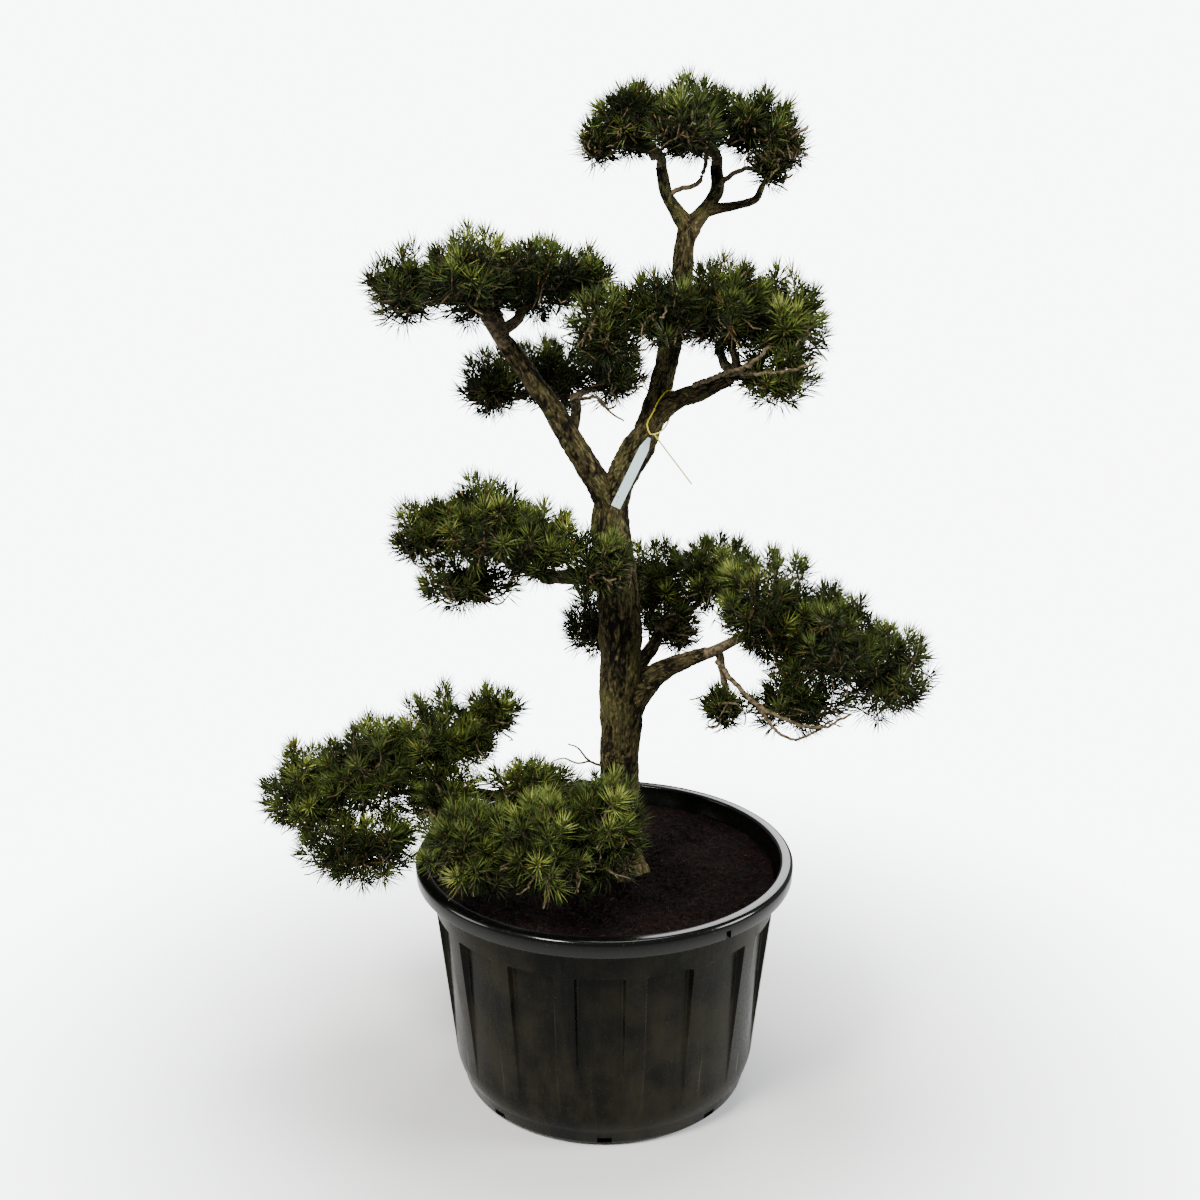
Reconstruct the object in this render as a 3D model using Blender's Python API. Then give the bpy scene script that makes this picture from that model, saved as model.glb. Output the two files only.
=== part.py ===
"""Lodgepole pine bonsai, trained into cloud-like pads and grown in a round nursery container.

Metres, +Z up. The origin is the centre of the container's flat underside. +X points to the right of
the front view, and +Y to the back.
"""

import math
import random

import bmesh
import bpy
from mathutils import Matrix, Vector
from mathutils.bvhtree import BVHTree

# Gap that neighbouring solids keep to each other.
CLEAR = 0.0003

# Container: a turned plastic tub with a thick lip, 16 recessed panels and 8 drain slots.
POT_HEIGHT = 0.447
RIM_RADIUS = 0.350
LIP_DROP = 0.032
LIP_INNER_RADIUS = 0.326
LIP_EDGE = 0.008
FOOT_RADIUS = 0.250
CORNER_RADIUS = 0.268
CORNER_HEIGHT = 0.013
WALL_LOW = (0.2835, 0.070)
WALL_HIGH = (0.3220, 0.415)
WALL_THICKNESS = 0.004
FLOOR_THICKNESS = 0.005
PANELS = 16
PANEL_TOP = 0.352
SHELF_RISE = 0.006
PANEL_DEPTH = 0.009
RIB_ANGLE = math.radians(6.5)
STEP_ANGLE = math.radians(0.9)
PANEL_TURN = math.radians(-91.5)
DRAINS = 8
DRAIN_SIZE = (0.026, 0.050, 0.012)

# Soil: a plug that fills the container to a few centimetres under its lip.
SOIL_LEVEL = 0.410
SOIL_SIDES = 32

# Trunk: places of its centre line, with the trunk's radius at each, from the soil to the top fork.
TRUNK_ROUTE = (
    ((0.022, 0.000, SOIL_LEVEL + CLEAR), 0.0400),
    ((0.024, 0.000, 0.480), 0.0360),
    ((0.027, 0.002, 0.600), 0.0345),
    ((0.030, 0.000, 0.720), 0.0370),
    ((0.028, 0.000, 0.860), 0.0380),
    ((0.022, 0.000, 0.970), 0.0355),
    ((0.010, 0.000, 1.080), 0.0330),
    ((0.022, 0.000, 1.135), 0.0285),
    ((0.054, 0.000, 1.200), 0.0245),
    ((0.086, 0.000, 1.270), 0.0235),
    ((0.106, 0.010, 1.350), 0.0195),
    ((0.126, 0.016, 1.450), 0.0175),
    ((0.133, 0.012, 1.530), 0.0165),
    ((0.137, 0.000, 1.590), 0.0160),
)
FLARE_HEIGHT = 0.055
FLARE_SPREAD = 0.42
FLARE_LOBES = 5
FLARE_RELIEF = 0.35
FLAT_FOOT = 0.002
TRUNK_SPACING = 0.048
TRUNK_RESOLUTION = 4

# Boughs: route of each, from inside the limb that carries it to where it enters its foliage,
# its first and last radius, and the limbs that its root is cut clear of.
BOUGHS = {
    "bough_upper_left": (
        ((0.014, 0.000, 1.105), (-0.040, -0.010, 1.195), (-0.100, -0.030, 1.295), (-0.165, -0.055, 1.392)),
        (0.0230, 0.0150),
        ("trunk",),
    ),
    "bough_upper_right": (
        ((0.085, 0.000, 1.268), (0.120, -0.020, 1.291), (0.160, -0.045, 1.309), (0.205, -0.065, 1.334)),
        (0.0185, 0.0125),
        ("trunk",),
    ),
    "bough_upper_back": (
        ((-0.062, -0.015, 1.232), (-0.050, 0.030, 1.257), (-0.050, 0.080, 1.276)),
        (0.0110, 0.0080),
        ("bough_upper_left",),
    ),
    "bough_mid_left": (
        ((0.018, 0.000, 0.972), (-0.040, -0.035, 0.985), (-0.092, -0.062, 0.994)),
        (0.0150, 0.0105),
        ("trunk",),
    ),
    "bough_mid_right": (
        ((0.034, 0.000, 0.752), (0.092, -0.020, 0.800), (0.140, -0.045, 0.833), (0.180, -0.055, 0.852)),
        (0.0190, 0.0110),
        ("trunk",),
    ),
    "bough_mid_right_back": (
        ((0.034, 0.000, 0.778), (0.080, 0.035, 0.822), (0.100, 0.070, 0.850)),
        (0.0150, 0.0100),
        ("trunk", "bough_mid_right"),
    ),
    "bough_lower_left": (
        ((0.024, 0.000, 0.520), (-0.080, 0.020, 0.540), (-0.180, 0.030, 0.543), (-0.275, 0.030, 0.556)),
        (0.0150, 0.0090),
        ("trunk",),
    ),
    "bough_lower_front": (
        ((0.024, 0.000, 0.488), (-0.015, -0.060, 0.503), (-0.050, -0.115, 0.515)),
        (0.0140, 0.0090),
        ("trunk",),
    ),
    "bough_top_left": (
        ((0.136, 0.000, 1.578), (0.119, 0.000, 1.603), (0.102, -0.008, 1.632), (0.092, -0.012, 1.674)),
        (0.0120, 0.0090),
        ("trunk",),
    ),
    "bough_top_middle": (
        ((0.137, 0.000, 1.574), (0.162, 0.002, 1.600), (0.186, 0.008, 1.634), (0.184, 0.010, 1.676)),
        (0.0130, 0.0100),
        ("trunk", "bough_top_left"),
    ),
    "bough_top_right": (
        ((0.168, 0.003, 1.605), (0.215, -0.015, 1.612), (0.246, -0.028, 1.622), (0.256, -0.030, 1.642)),
        (0.0080, 0.0050),
        ("trunk", "bough_top_middle"),
    ),
}
BOUGH_SPACING = 0.034
BOUGH_RESOLUTION = 2

# Foliage: each pad is a row of rounded lobes. A row gives a lobe's centre, half width, half depth
# and half height, measured to the needles' tips.
PADS = {
    "foliage_top_left": (
        "bough_top_left",
        (
            (0.040, -0.020, 1.757, 0.070, 0.100, 0.074),
            (-0.008, 0.010, 1.726, 0.042, 0.070, 0.050),
            (0.045, 0.080, 1.745, 0.060, 0.065, 0.060),
        ),
    ),
    "foliage_top_middle": (
        "bough_top_middle",
        (
            (0.140, 0.000, 1.762, 0.086, 0.120, 0.078),
            (0.125, -0.090, 1.745, 0.070, 0.070, 0.068),
            (0.150, 0.110, 1.740, 0.080, 0.070, 0.060),
        ),
    ),
    "foliage_top_right": (
        "bough_top_right",
        (
            (0.243, 0.000, 1.750, 0.078, 0.110, 0.070),
            (0.288, -0.030, 1.718, 0.042, 0.080, 0.055),
            (0.265, -0.040, 1.688, 0.042, 0.050, 0.034),
        ),
    ),
    "foliage_upper_left": (
        "bough_upper_left",
        (
            (-0.330, -0.050, 1.490, 0.072, 0.100, 0.082),
            (-0.220, -0.070, 1.506, 0.090, 0.130, 0.096),
            (-0.110, -0.030, 1.503, 0.090, 0.130, 0.086),
            (-0.026, 0.020, 1.503, 0.050, 0.090, 0.062),
            (-0.200, 0.080, 1.485, 0.110, 0.090, 0.072),
        ),
    ),
    "foliage_upper_right": (
        "bough_upper_right",
        (
            (-0.002, -0.140, 1.431, 0.070, 0.080, 0.070),
            (0.086, -0.130, 1.459, 0.086, 0.110, 0.080),
            (0.192, -0.090, 1.460, 0.096, 0.130, 0.092),
            (0.295, -0.060, 1.427, 0.088, 0.120, 0.105),
            (0.279, -0.100, 1.345, 0.080, 0.070, 0.045),
            (0.220, 0.060, 1.440, 0.100, 0.090, 0.072),
        ),
    ),
    "foliage_upper_back": (
        "bough_upper_back",
        (
            (-0.202, 0.160, 1.311, 0.072, 0.090, 0.070),
            (-0.098, 0.190, 1.325, 0.098, 0.110, 0.078),
            (0.015, 0.160, 1.326, 0.082, 0.090, 0.074),
        ),
    ),
    "foliage_mid_left": (
        "bough_mid_left",
        (
            (-0.300, -0.070, 1.081, 0.079, 0.100, 0.077),
            (-0.210, -0.090, 1.099, 0.095, 0.130, 0.092),
            (-0.108, -0.110, 1.066, 0.092, 0.110, 0.086),
            (-0.007, -0.130, 1.036, 0.075, 0.070, 0.070),
            (-0.235, -0.060, 0.985, 0.100, 0.080, 0.046),
            (-0.200, 0.050, 1.060, 0.105, 0.090, 0.070),
        ),
    ),
    "foliage_mid_right_back": (
        "bough_mid_right_back",
        (
            (-0.010, 0.190, 0.840, 0.082, 0.090, 0.084),
            (0.100, 0.180, 0.921, 0.100, 0.120, 0.096),
            (0.205, 0.140, 0.946, 0.096, 0.120, 0.095),
            (0.130, 0.110, 0.850, 0.060, 0.055, 0.050),
        ),
    ),
    "foliage_mid_right": (
        "bough_mid_right",
        (
            (0.286, -0.020, 0.930, 0.102, 0.130, 0.118),
            (0.380, -0.050, 0.874, 0.114, 0.150, 0.120),
            (0.490, -0.050, 0.823, 0.104, 0.130, 0.108),
            (0.342, -0.080, 0.768, 0.105, 0.090, 0.055),
            (0.205, -0.090, 0.775, 0.052, 0.060, 0.048),
            (0.380, 0.080, 0.860, 0.110, 0.090, 0.090),
        ),
    ),
    "foliage_lower_left": (
        "bough_lower_left",
        (
            (-0.540, 0.000, 0.570, 0.105, 0.120, 0.110),
            (-0.425, -0.020, 0.621, 0.108, 0.130, 0.118),
            (-0.309, 0.030, 0.660, 0.102, 0.120, 0.108),
            (-0.206, 0.050, 0.712, 0.062, 0.080, 0.068),
            (-0.449, -0.090, 0.495, 0.124, 0.110, 0.064),
            (-0.400, 0.120, 0.590, 0.110, 0.090, 0.090),
        ),
    ),
    "foliage_lower_front": (
        "bough_lower_front",
        (
            (-0.225, -0.200, 0.550, 0.102, 0.110, 0.100),
            (-0.103, -0.230, 0.570, 0.104, 0.120, 0.104),
            (0.000, -0.190, 0.594, 0.078, 0.100, 0.104),
            (-0.127, -0.070, 0.618, 0.100, 0.080, 0.060),
        ),
    ),
}

# Each lobe has a hub, where its twigs start, a share of its half height below its middle. The hubs
# are linked by stems that thin out from one to the next, and a small dense core sits round each.
HUB_DROP = 0.30
STEM_LEAD = 0.020
STEM_TAPER = 0.62
LEVEL_COST = 0.02
CORE_SHARE = 0.40
CORE_JITTER = 0.12

# Sprays: their tips are dealt out on a lobe's outline by the golden angle, with some jitter, down to
# a lowest direction. A tip that lies inside a neighbouring lobe or close to another is left out.
SPRAY_TRIES = 26
LOWEST_DIRECTION = -0.62
GOLDEN_ANGLE = math.pi * (3.0 - math.sqrt(5.0))
TURN_JITTER = 0.25
TIP_REACH = (0.96, 1.04)
HIDDEN_DEPTH = 0.85
SPRAY_SPACING = 0.079
UPTURN = 0.35
TWIG_RADIUS = 0.0034
TWIG_END_RADIUS = 0.0022
BUD_RADII = (0.011, 0.006)
BUD_STEP = 0.010
NEEDLE_LENGTH = 0.050
NEEDLE_LEAN = 0.45
SHORTEST_NEEDLE = 0.40
PULL_SHARE = 0.85

# A spray keeps to its own pad's space, and off the limbs and the container's lip.
SPACE_LIMIT = 1.16
SPACE_MARGIN = 0.04
LIMB_MARGIN = 0.004
LIP_MARGIN = 0.008

# Plant label: a blank plastic strip that hangs down the leader, on a thin tie round the root of a bough.
LABEL_TIP = (0.0765, -0.0290, 1.2285)
LABEL_FOOT = (0.0190, -0.0360, 1.1090)
LABEL_WIDTH = 0.017
LABEL_NECK = 0.005
LABEL_SHOULDER = 0.020
LABEL_THICKNESS = 0.0008
TIE_ROUTE = (
    (0.0780, -0.0290, 1.2350),
    (0.0718, -0.0270, 1.2520),
    (0.0833, -0.0230, 1.2740),
    (0.1030, -0.0080, 1.3080),
    (0.1120, 0.0120, 1.2950),
    (0.1130, 0.0080, 1.2620),
    (0.1000, -0.0120, 1.2400),
)
TIE_RADIUS = 0.0014
TIE_SPACING = 0.009
TIE_TAIL_END = (0.1494, -0.0400, 1.1506)

COLOURS = {
    "pot": ((0.020, 0.021, 0.017), 0.42),
    "soil": ((0.030, 0.016, 0.011), 0.95),
    "trunk": ((0.150, 0.125, 0.085), 0.90),
    "bough": ((0.120, 0.105, 0.070), 0.90),
    "foliage": ((0.055, 0.105, 0.028), 0.55),
    "label": ((0.720, 0.880, 0.880), 0.35),
    "tie": ((0.620, 0.560, 0.160), 0.40),
}


def clear_scene():
    for item in list(bpy.data.objects):
        bpy.data.objects.remove(item, do_unlink=True)


def new_collection(name):
    collection = bpy.data.collections.new(name)
    bpy.context.scene.collection.children.link(collection)
    return collection


def object_of(name, mesh, collection):
    piece = bpy.data.objects.new(name, mesh)
    collection.objects.link(piece)
    return piece


def object_from_bmesh(name, shape, collection):
    mesh = bpy.data.meshes.new(name)
    shape.to_mesh(mesh)
    shape.free()
    return object_of(name, mesh, collection)


def evaluated_mesh(piece):
    depsgraph = bpy.context.evaluated_depsgraph_get()
    depsgraph.update()
    return bpy.data.meshes.new_from_object(piece.evaluated_get(depsgraph))


def apply_modifiers(piece):
    mesh = evaluated_mesh(piece)
    old = piece.data
    piece.modifiers.clear()
    piece.data = mesh
    bpy.data.meshes.remove(old)


def give_material(piece, name):
    colour, roughness = COLOURS[name]
    material = bpy.data.materials.new(piece.name)
    material.use_nodes = True
    shader = material.node_tree.nodes["Principled BSDF"]
    shader.inputs["Base Color"].default_value = (*colour, 1.0)
    shader.inputs["Roughness"].default_value = roughness
    shader.inputs["Metallic"].default_value = 0.0
    piece.data.materials.clear()
    piece.data.materials.append(material)


def shade_round(piece, degrees):
    piece.data.shade_smooth()
    piece.data.set_sharp_from_angle(angle=math.radians(degrees))


def smooth_route(points, spacing):
    """Places about one spacing apart on a smooth curve through the points, and how far along each is."""
    places = [Vector(point) for point in points]
    ends = [places[0] * 2 - places[1], *places, places[-1] * 2 - places[-2]]
    route = [places[0]]
    stations = [0.0]
    for i in range(len(places) - 1):
        before, start, end, after = ends[i : i + 4]
        steps = max(1, round((end - start).length / spacing))
        for step in range(1, steps + 1):
            t = step / steps
            route.append(
                0.5
                * (
                    2 * start
                    + (end - before) * t
                    + (2 * before - 5 * start + 4 * end - after) * t**2
                    + (3 * start - before - 3 * end + after) * t**3
                )
            )
            stations.append(i + t)
    return route, stations


def tube(name, route, radii, resolution, collection, cyclic=False):
    """A closed tapering limb along the route, or a ring where the route is cyclic, as one mesh."""
    curve = bpy.data.curves.new(name, "CURVE")
    curve.dimensions = "3D"
    curve.bevel_depth = 1.0
    curve.bevel_resolution = resolution
    curve.use_fill_caps = True
    spline = curve.splines.new("POLY")
    spline.use_cyclic_u = cyclic
    spline.points.add(len(route) - 1)
    for point, place, radius in zip(spline.points, route, radii):
        point.co = (*place, 1.0)
        point.radius = radius
    bent = object_of(name + "_line", curve, collection)
    mesh = evaluated_mesh(bent)
    bpy.data.objects.remove(bent, do_unlink=True)
    bpy.data.curves.remove(curve)
    shape = bmesh.new()
    shape.from_mesh(mesh)
    bpy.data.meshes.remove(mesh)
    bmesh.ops.remove_doubles(shape, verts=shape.verts, dist=0.00001)
    bmesh.ops.recalc_face_normals(shape, faces=shape.faces)
    return object_from_bmesh(name, shape, collection)


def cut_clear(piece, other, cutters):
    """Cuts the piece back from the other, so that a gap of CLEAR is left between them."""
    shape = bmesh.new()
    shape.from_mesh(other.data)
    shape.normal_update()
    for vertex in shape.verts:
        vertex.co += vertex.normal * CLEAR * 1.15
    cutter = object_from_bmesh(piece.name + "_cutter", shape, cutters)
    cutter.hide_render = True
    cutter.display_type = "WIRE"
    cut = piece.modifiers.new("cut", "BOOLEAN")
    cut.operation = "DIFFERENCE"
    cut.object = cutter
    apply_modifiers(piece)
    bpy.data.objects.remove(cutter, do_unlink=True)
    keep_largest_body(piece)


def keep_largest_body(piece):
    """Drops loose scraps and sealed hollows, which are bodies of their own in the mesh."""
    shape = bmesh.new()
    shape.from_mesh(piece.data)
    left = set(shape.faces)
    bodies = []
    while left:
        seed = left.pop()
        body = [seed]
        for face in body:
            for edge in face.edges:
                for neighbour in edge.link_faces:
                    if neighbour in left:
                        left.remove(neighbour)
                        body.append(neighbour)
        bodies.append(body)
    bodies.sort(key=lambda body: sum(face.calc_area() for face in body))
    scraps = [face for body in bodies[:-1] for face in body]
    if scraps:
        bmesh.ops.delete(shape, geom=scraps, context="FACES")
        loose = [vertex for vertex in shape.verts if not vertex.link_faces]
        bmesh.ops.delete(shape, geom=loose, context="VERTS")
    shape.to_mesh(piece.data)
    shape.free()


def turned(profile, sides):
    """A shape turned from a profile of (radius, height) points that starts and ends on the axis."""
    shape = bmesh.new()
    verts = [shape.verts.new((radius, 0.0, height)) for radius, height in profile]
    edges = [shape.edges.new(pair) for pair in zip(verts, verts[1:])]
    bmesh.ops.spin(
        shape, geom=verts + edges, cent=(0, 0, 0), axis=(0, 0, 1), angle=math.tau, steps=sides, use_merge=True
    )
    bmesh.ops.remove_doubles(shape, verts=shape.verts, dist=0.00001)
    bmesh.ops.recalc_face_normals(shape, faces=shape.faces)
    return shape


def wall_radius(height):
    """Outer radius of the container's plain tapering wall."""
    (low_radius, low), (high_radius, high) = WALL_LOW, WALL_HIGH
    return low_radius + (high_radius - low_radius) * (height - low) / (high - low)


def pot_profile():
    shelf = PANEL_TOP + SHELF_RISE
    lip_foot = POT_HEIGHT - LIP_DROP
    inner = WALL_THICKNESS
    return (
        (0.0, 0.0),
        (FOOT_RADIUS, 0.0),
        (CORNER_RADIUS, CORNER_HEIGHT),
        WALL_LOW,
        (wall_radius(PANEL_TOP), PANEL_TOP),
        (wall_radius(shelf), shelf),
        WALL_HIGH,
        (RIM_RADIUS - LIP_EDGE / 8, lip_foot),
        (RIM_RADIUS, POT_HEIGHT - LIP_EDGE),
        (RIM_RADIUS - LIP_EDGE, POT_HEIGHT),
        (LIP_INNER_RADIUS, POT_HEIGHT - LIP_EDGE / 4),
        (wall_radius(SOIL_LEVEL) - inner, SOIL_LEVEL),
        (wall_radius(PANEL_TOP) - inner, PANEL_TOP),
        (WALL_LOW[0] - inner, WALL_LOW[1]),
        (FOOT_RADIUS, FLOOR_THICKNESS),
        (0.0, FLOOR_THICKNESS),
    )


def make_pot(parts, cutters):
    shape = turned(pot_profile(), 4 * PANELS)
    period = math.tau / PANELS
    places = (0.0, RIB_ANGLE, RIB_ANGLE + STEP_ANGLE, period - STEP_ANGLE)
    for vertex in shape.verts:
        radius = math.hypot(vertex.co.x, vertex.co.y)
        if radius < 0.01:
            continue
        column = round(math.atan2(vertex.co.y, vertex.co.x) / period * 4) % (4 * PANELS)
        angle = PANEL_TURN + period / 2 - RIB_ANGLE / 2 + (column // 4) * period + places[column % 4]
        if column % 4 >= 2 and abs(vertex.co.z - PANEL_TOP) < 0.0001:
            radius -= PANEL_DEPTH
        vertex.co.x = radius * math.cos(angle)
        vertex.co.y = radius * math.sin(angle)
    pot = object_from_bmesh("pot", shape, parts)
    slots = bmesh.new()
    for i in range(DRAINS):
        turn = Matrix.Rotation(math.tau * i / DRAINS, 4, "Z")
        place = Matrix.Translation((0.0, -(FOOT_RADIUS + 0.018), DRAIN_SIZE[2] / 2 + FLOOR_THICKNESS + 0.003))
        size = Matrix.Diagonal((*DRAIN_SIZE, 1.0))
        bmesh.ops.create_cube(slots, size=1.0, matrix=turn @ place @ size)
    cutter = object_from_bmesh("drain_slots", slots, cutters)
    cutter.hide_render = True
    cutter.display_type = "WIRE"
    cut = pot.modifiers.new("drains", "BOOLEAN")
    cut.operation = "DIFFERENCE"
    cut.object = cutter
    apply_modifiers(pot)
    bpy.data.objects.remove(cutter, do_unlink=True)
    shade_round(pot, 25)
    give_material(pot, "pot")
    return pot


def make_soil(parts):
    """The plug's sides stay inside the container's panels, whose flats reach nearest the middle."""
    flat = math.cos((math.tau / PANELS - RIB_ANGLE) / 2)
    inner = WALL_THICKNESS + 0.001
    profile = (
        (0.0, FLOOR_THICKNESS + CLEAR),
        ((FOOT_RADIUS - 0.004) * flat, FLOOR_THICKNESS + CLEAR),
        ((WALL_LOW[0] - inner) * flat, WALL_LOW[1]),
        ((wall_radius(PANEL_TOP) - PANEL_DEPTH - inner) * flat, PANEL_TOP),
        ((wall_radius(SOIL_LEVEL) - inner) * flat, SOIL_LEVEL),
        (0.0, SOIL_LEVEL),
    )
    soil = object_from_bmesh("soil", turned(profile, SOIL_SIDES), parts)
    shade_round(soil, 30)
    give_material(soil, "soil")
    return soil


def make_trunk(parts):
    route, stations = smooth_route([place for place, _ in TRUNK_ROUTE], TRUNK_SPACING)
    sizes = [radius for _, radius in TRUNK_ROUTE]
    radii = []
    for station in stations:
        i = min(int(station), len(sizes) - 2)
        radii.append(sizes[i] + (sizes[i + 1] - sizes[i]) * (station - i))
    trunk = tube("trunk", route, radii, TRUNK_RESOLUTION, parts)
    foot = route[0]
    for vertex in trunk.data.vertices:
        height = max(0.0, vertex.co.z - foot.z)
        across = Vector((vertex.co.x - foot.x, vertex.co.y - foot.y))
        buttress = 1.0 + FLARE_RELIEF * math.cos(FLARE_LOBES * math.atan2(across.y, across.x))
        spread = FLARE_SPREAD * buttress * math.exp(-height / FLARE_HEIGHT)
        if height < 4 * FLARE_HEIGHT:
            vertex.co.x += across.x * spread
            vertex.co.y += across.y * spread
        if height < FLAT_FOOT:
            vertex.co.z = foot.z
    shade_round(trunk, 50)
    give_material(trunk, "trunk")
    return trunk, route, radii


def make_boughs(limbs, lines, parts, cutters):
    for name, (points, (first, last), carriers) in BOUGHS.items():
        route, stations = smooth_route(points, BOUGH_SPACING)
        radii = [first + (last - first) * station / stations[-1] for station in stations]
        bough = tube(name, route, radii, BOUGH_RESOLUTION, parts)
        for carrier in carriers:
            cut_clear(bough, limbs[carrier], cutters)
        shade_round(bough, 50)
        give_material(bough, "bough")
        limbs[name] = bough
        lines[name] = (route, radii)


def nearest_on(route, place):
    """The place on the route nearest to this one, and the piece of the route it lies on."""
    found = None
    for i, (start, end) in enumerate(zip(route, route[1:])):
        along = (place - start).dot(end - start) / (end - start).length_squared
        on_line = start + (end - start) * min(1.0, max(0.0, along))
        if found is None or (place - on_line).length < (place - found[0]).length:
            found = (on_line, i)
    return found


def laid_on_bark(route, lines, radius):
    """Moves a tie's points out of the limbs that they cross, until they lie on the bark."""
    laid = []
    for place in route:
        for _ in range(4):
            for limb, radii in lines.values():
                on_line, i = nearest_on(limb, place)
                clear = radii[i] + radius + CLEAR
                if (place - on_line).length < clear:
                    place = on_line + (place - on_line).normalized() * clear
        laid.append(place)
    return laid


def make_tie(lines, parts):
    closed = [*TIE_ROUTE, TIE_ROUTE[0], TIE_ROUTE[1]]
    route, stations = smooth_route(closed, TIE_SPACING)
    loop = [place for place, station in zip(route, stations) if 1.0 <= station < len(TIE_ROUTE) + 1.0]
    loop = laid_on_bark(loop, lines, TIE_RADIUS)
    tie = tube("label_tie", loop, [TIE_RADIUS] * len(loop), 0, parts, cyclic=True)
    lowest = min(loop, key=lambda place: place.z)
    tail = tube("tail", [lowest, Vector(TIE_TAIL_END)], [TIE_RADIUS] * 2, 0, parts)
    join = tie.modifiers.new("join", "BOOLEAN")
    join.operation = "UNION"
    join.object = tail
    apply_modifiers(tie)
    bpy.data.objects.remove(tail, do_unlink=True)
    give_material(tie, "tie")
    return tie


def make_label(limbs, parts):
    """A strip cut to a narrow neck at its top end, and laid against the bark."""
    tip, foot = Vector(LABEL_TIP), Vector(LABEL_FOOT)
    length = (tip - foot).length
    half, neck = LABEL_WIDTH / 2, LABEL_NECK / 2
    shoulder = length - LABEL_SHOULDER
    outline = ((-half, 0), (half, 0), (half, shoulder), (neck, length), (-neck, length), (-half, shoulder))
    curve = bpy.data.curves.new("label", "CURVE")
    curve.dimensions = "2D"
    curve.fill_mode = "BOTH"
    curve.extrude = LABEL_THICKNESS / 2
    spline = curve.splines.new("POLY")
    spline.points.add(len(outline) - 1)
    for point, (x, y) in zip(spline.points, outline):
        point.co = (x, y, 0.0, 1.0)
    spline.use_cyclic_u = True
    up = (tip - foot).normalized()
    across = up.cross(Vector((0, -1, 0))).normalized()
    face = across.cross(up)
    place = Matrix.Translation(foot) @ Matrix((across, up, face)).transposed().to_4x4()
    flat = object_of("label_outline", curve, parts)
    shape = bmesh.new()
    mesh = evaluated_mesh(flat)
    shape.from_mesh(mesh)
    bpy.data.objects.remove(flat, do_unlink=True)
    bpy.data.meshes.remove(mesh)
    bmesh.ops.remove_doubles(shape, verts=shape.verts, dist=0.00001)
    bmesh.ops.transform(shape, matrix=place, verts=shape.verts)
    bmesh.ops.recalc_face_normals(shape, faces=shape.faces)
    bark = BVHTree.FromPolygons(
        [vertex.co for vertex in limbs["trunk"].data.vertices],
        [polygon.vertices for polygon in limbs["trunk"].data.polygons],
    )
    strip = BVHTree.FromBMesh(shape)
    gaps = [bark.find_nearest(vertex.co)[3] for vertex in shape.verts]
    gaps += [strip.find_nearest(vertex.co)[3] for vertex in limbs["trunk"].data.vertices]
    bmesh.ops.translate(shape, vec=-face * (min(gaps) - CLEAR), verts=shape.verts)
    label = object_from_bmesh("label", shape, parts)
    give_material(label, "label")
    return label


def depth_in_lobe(place, lobe):
    """0 at the lobe's centre, 1 on its outline, more outside it."""
    x, y, z, wide, deep, high = lobe
    return math.hypot((place[0] - x) / wide, (place[1] - y) / deep, (place[2] - z) / high)


def depth_in_pad(place, pad):
    return min(depth_in_lobe(place, lobe) for lobe in PADS[pad][1])


def within_space(place, pad):
    """Whether the place belongs to the pad, and to no other."""
    own = depth_in_pad(place, pad)
    if own > SPACE_LIMIT:
        return False
    radius = math.hypot(place[0], place[1])
    if radius < LIP_INNER_RADIUS and place[2] < SOIL_LEVEL + LIMB_MARGIN:
        return False
    if place[2] < POT_HEIGHT + LIP_MARGIN and LIP_INNER_RADIUS - LIP_MARGIN < radius < RIM_RADIUS + LIP_MARGIN:
        return False
    return all(depth_in_pad(place, other) > own + SPACE_MARGIN for other in PADS if other != pad)


def clear_of_limbs(place, lines, margin):
    for route, radii in lines.values():
        on_line, i = nearest_on(route, place)
        if (place - on_line).length < radii[i] + margin:
            return False
    return True


def fits(places, pad, lines, margin):
    return all(within_space(place, pad) and clear_of_limbs(place, lines, margin) for place in places)


def frame_along(start, direction):
    """A matrix whose Z axis runs along the direction from the start."""
    turn = direction.to_track_quat("Z", "Y").to_matrix().to_4x4()
    return Matrix.Translation(start) @ turn


def twig(start, end, radius, end_radius, sides, collection):
    shape = bmesh.new()
    length = (end - start).length
    place = frame_along(start, end - start) @ Matrix.Translation((0, 0, length / 2))
    bmesh.ops.create_cone(
        shape, cap_ends=True, segments=sides, radius1=radius, radius2=end_radius, depth=length, matrix=place
    )
    return object_from_bmesh("twig", shape, collection)


def spray(hub, root, direction, turn, pad):
    """A three-sided twig that swells to a bud, with a bundle of needles out of each of the bud's faces."""
    shape = bmesh.new()
    reach = root - hub
    place = frame_along(hub, reach) @ Matrix.Translation((0, 0, reach.length / 2)) @ Matrix.Rotation(turn, 4, "Z")
    bmesh.ops.create_cone(
        shape,
        cap_ends=True,
        segments=3,
        radius1=TWIG_RADIUS,
        radius2=TWIG_END_RADIUS,
        depth=reach.length,
        matrix=place,
    )
    cap = max(shape.faces, key=lambda face: face.calc_center_median().dot(reach))
    for radius in BUD_RADII:
        cap = bmesh.ops.extrude_discrete_faces(shape, faces=[cap])["faces"][0]
        middle = cap.calc_center_median()
        for vertex in cap.verts:
            vertex.co = middle + (vertex.co - middle).normalized() * radius + direction * BUD_STEP
        shape.normal_update()
        sides = [edge.link_faces[0] if edge.link_faces[1] is cap else edge.link_faces[1] for edge in cap.edges]
        needles_from(shape, sides, direction, pad)
    needles_from(shape, [cap], direction, pad)
    return shape


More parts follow.
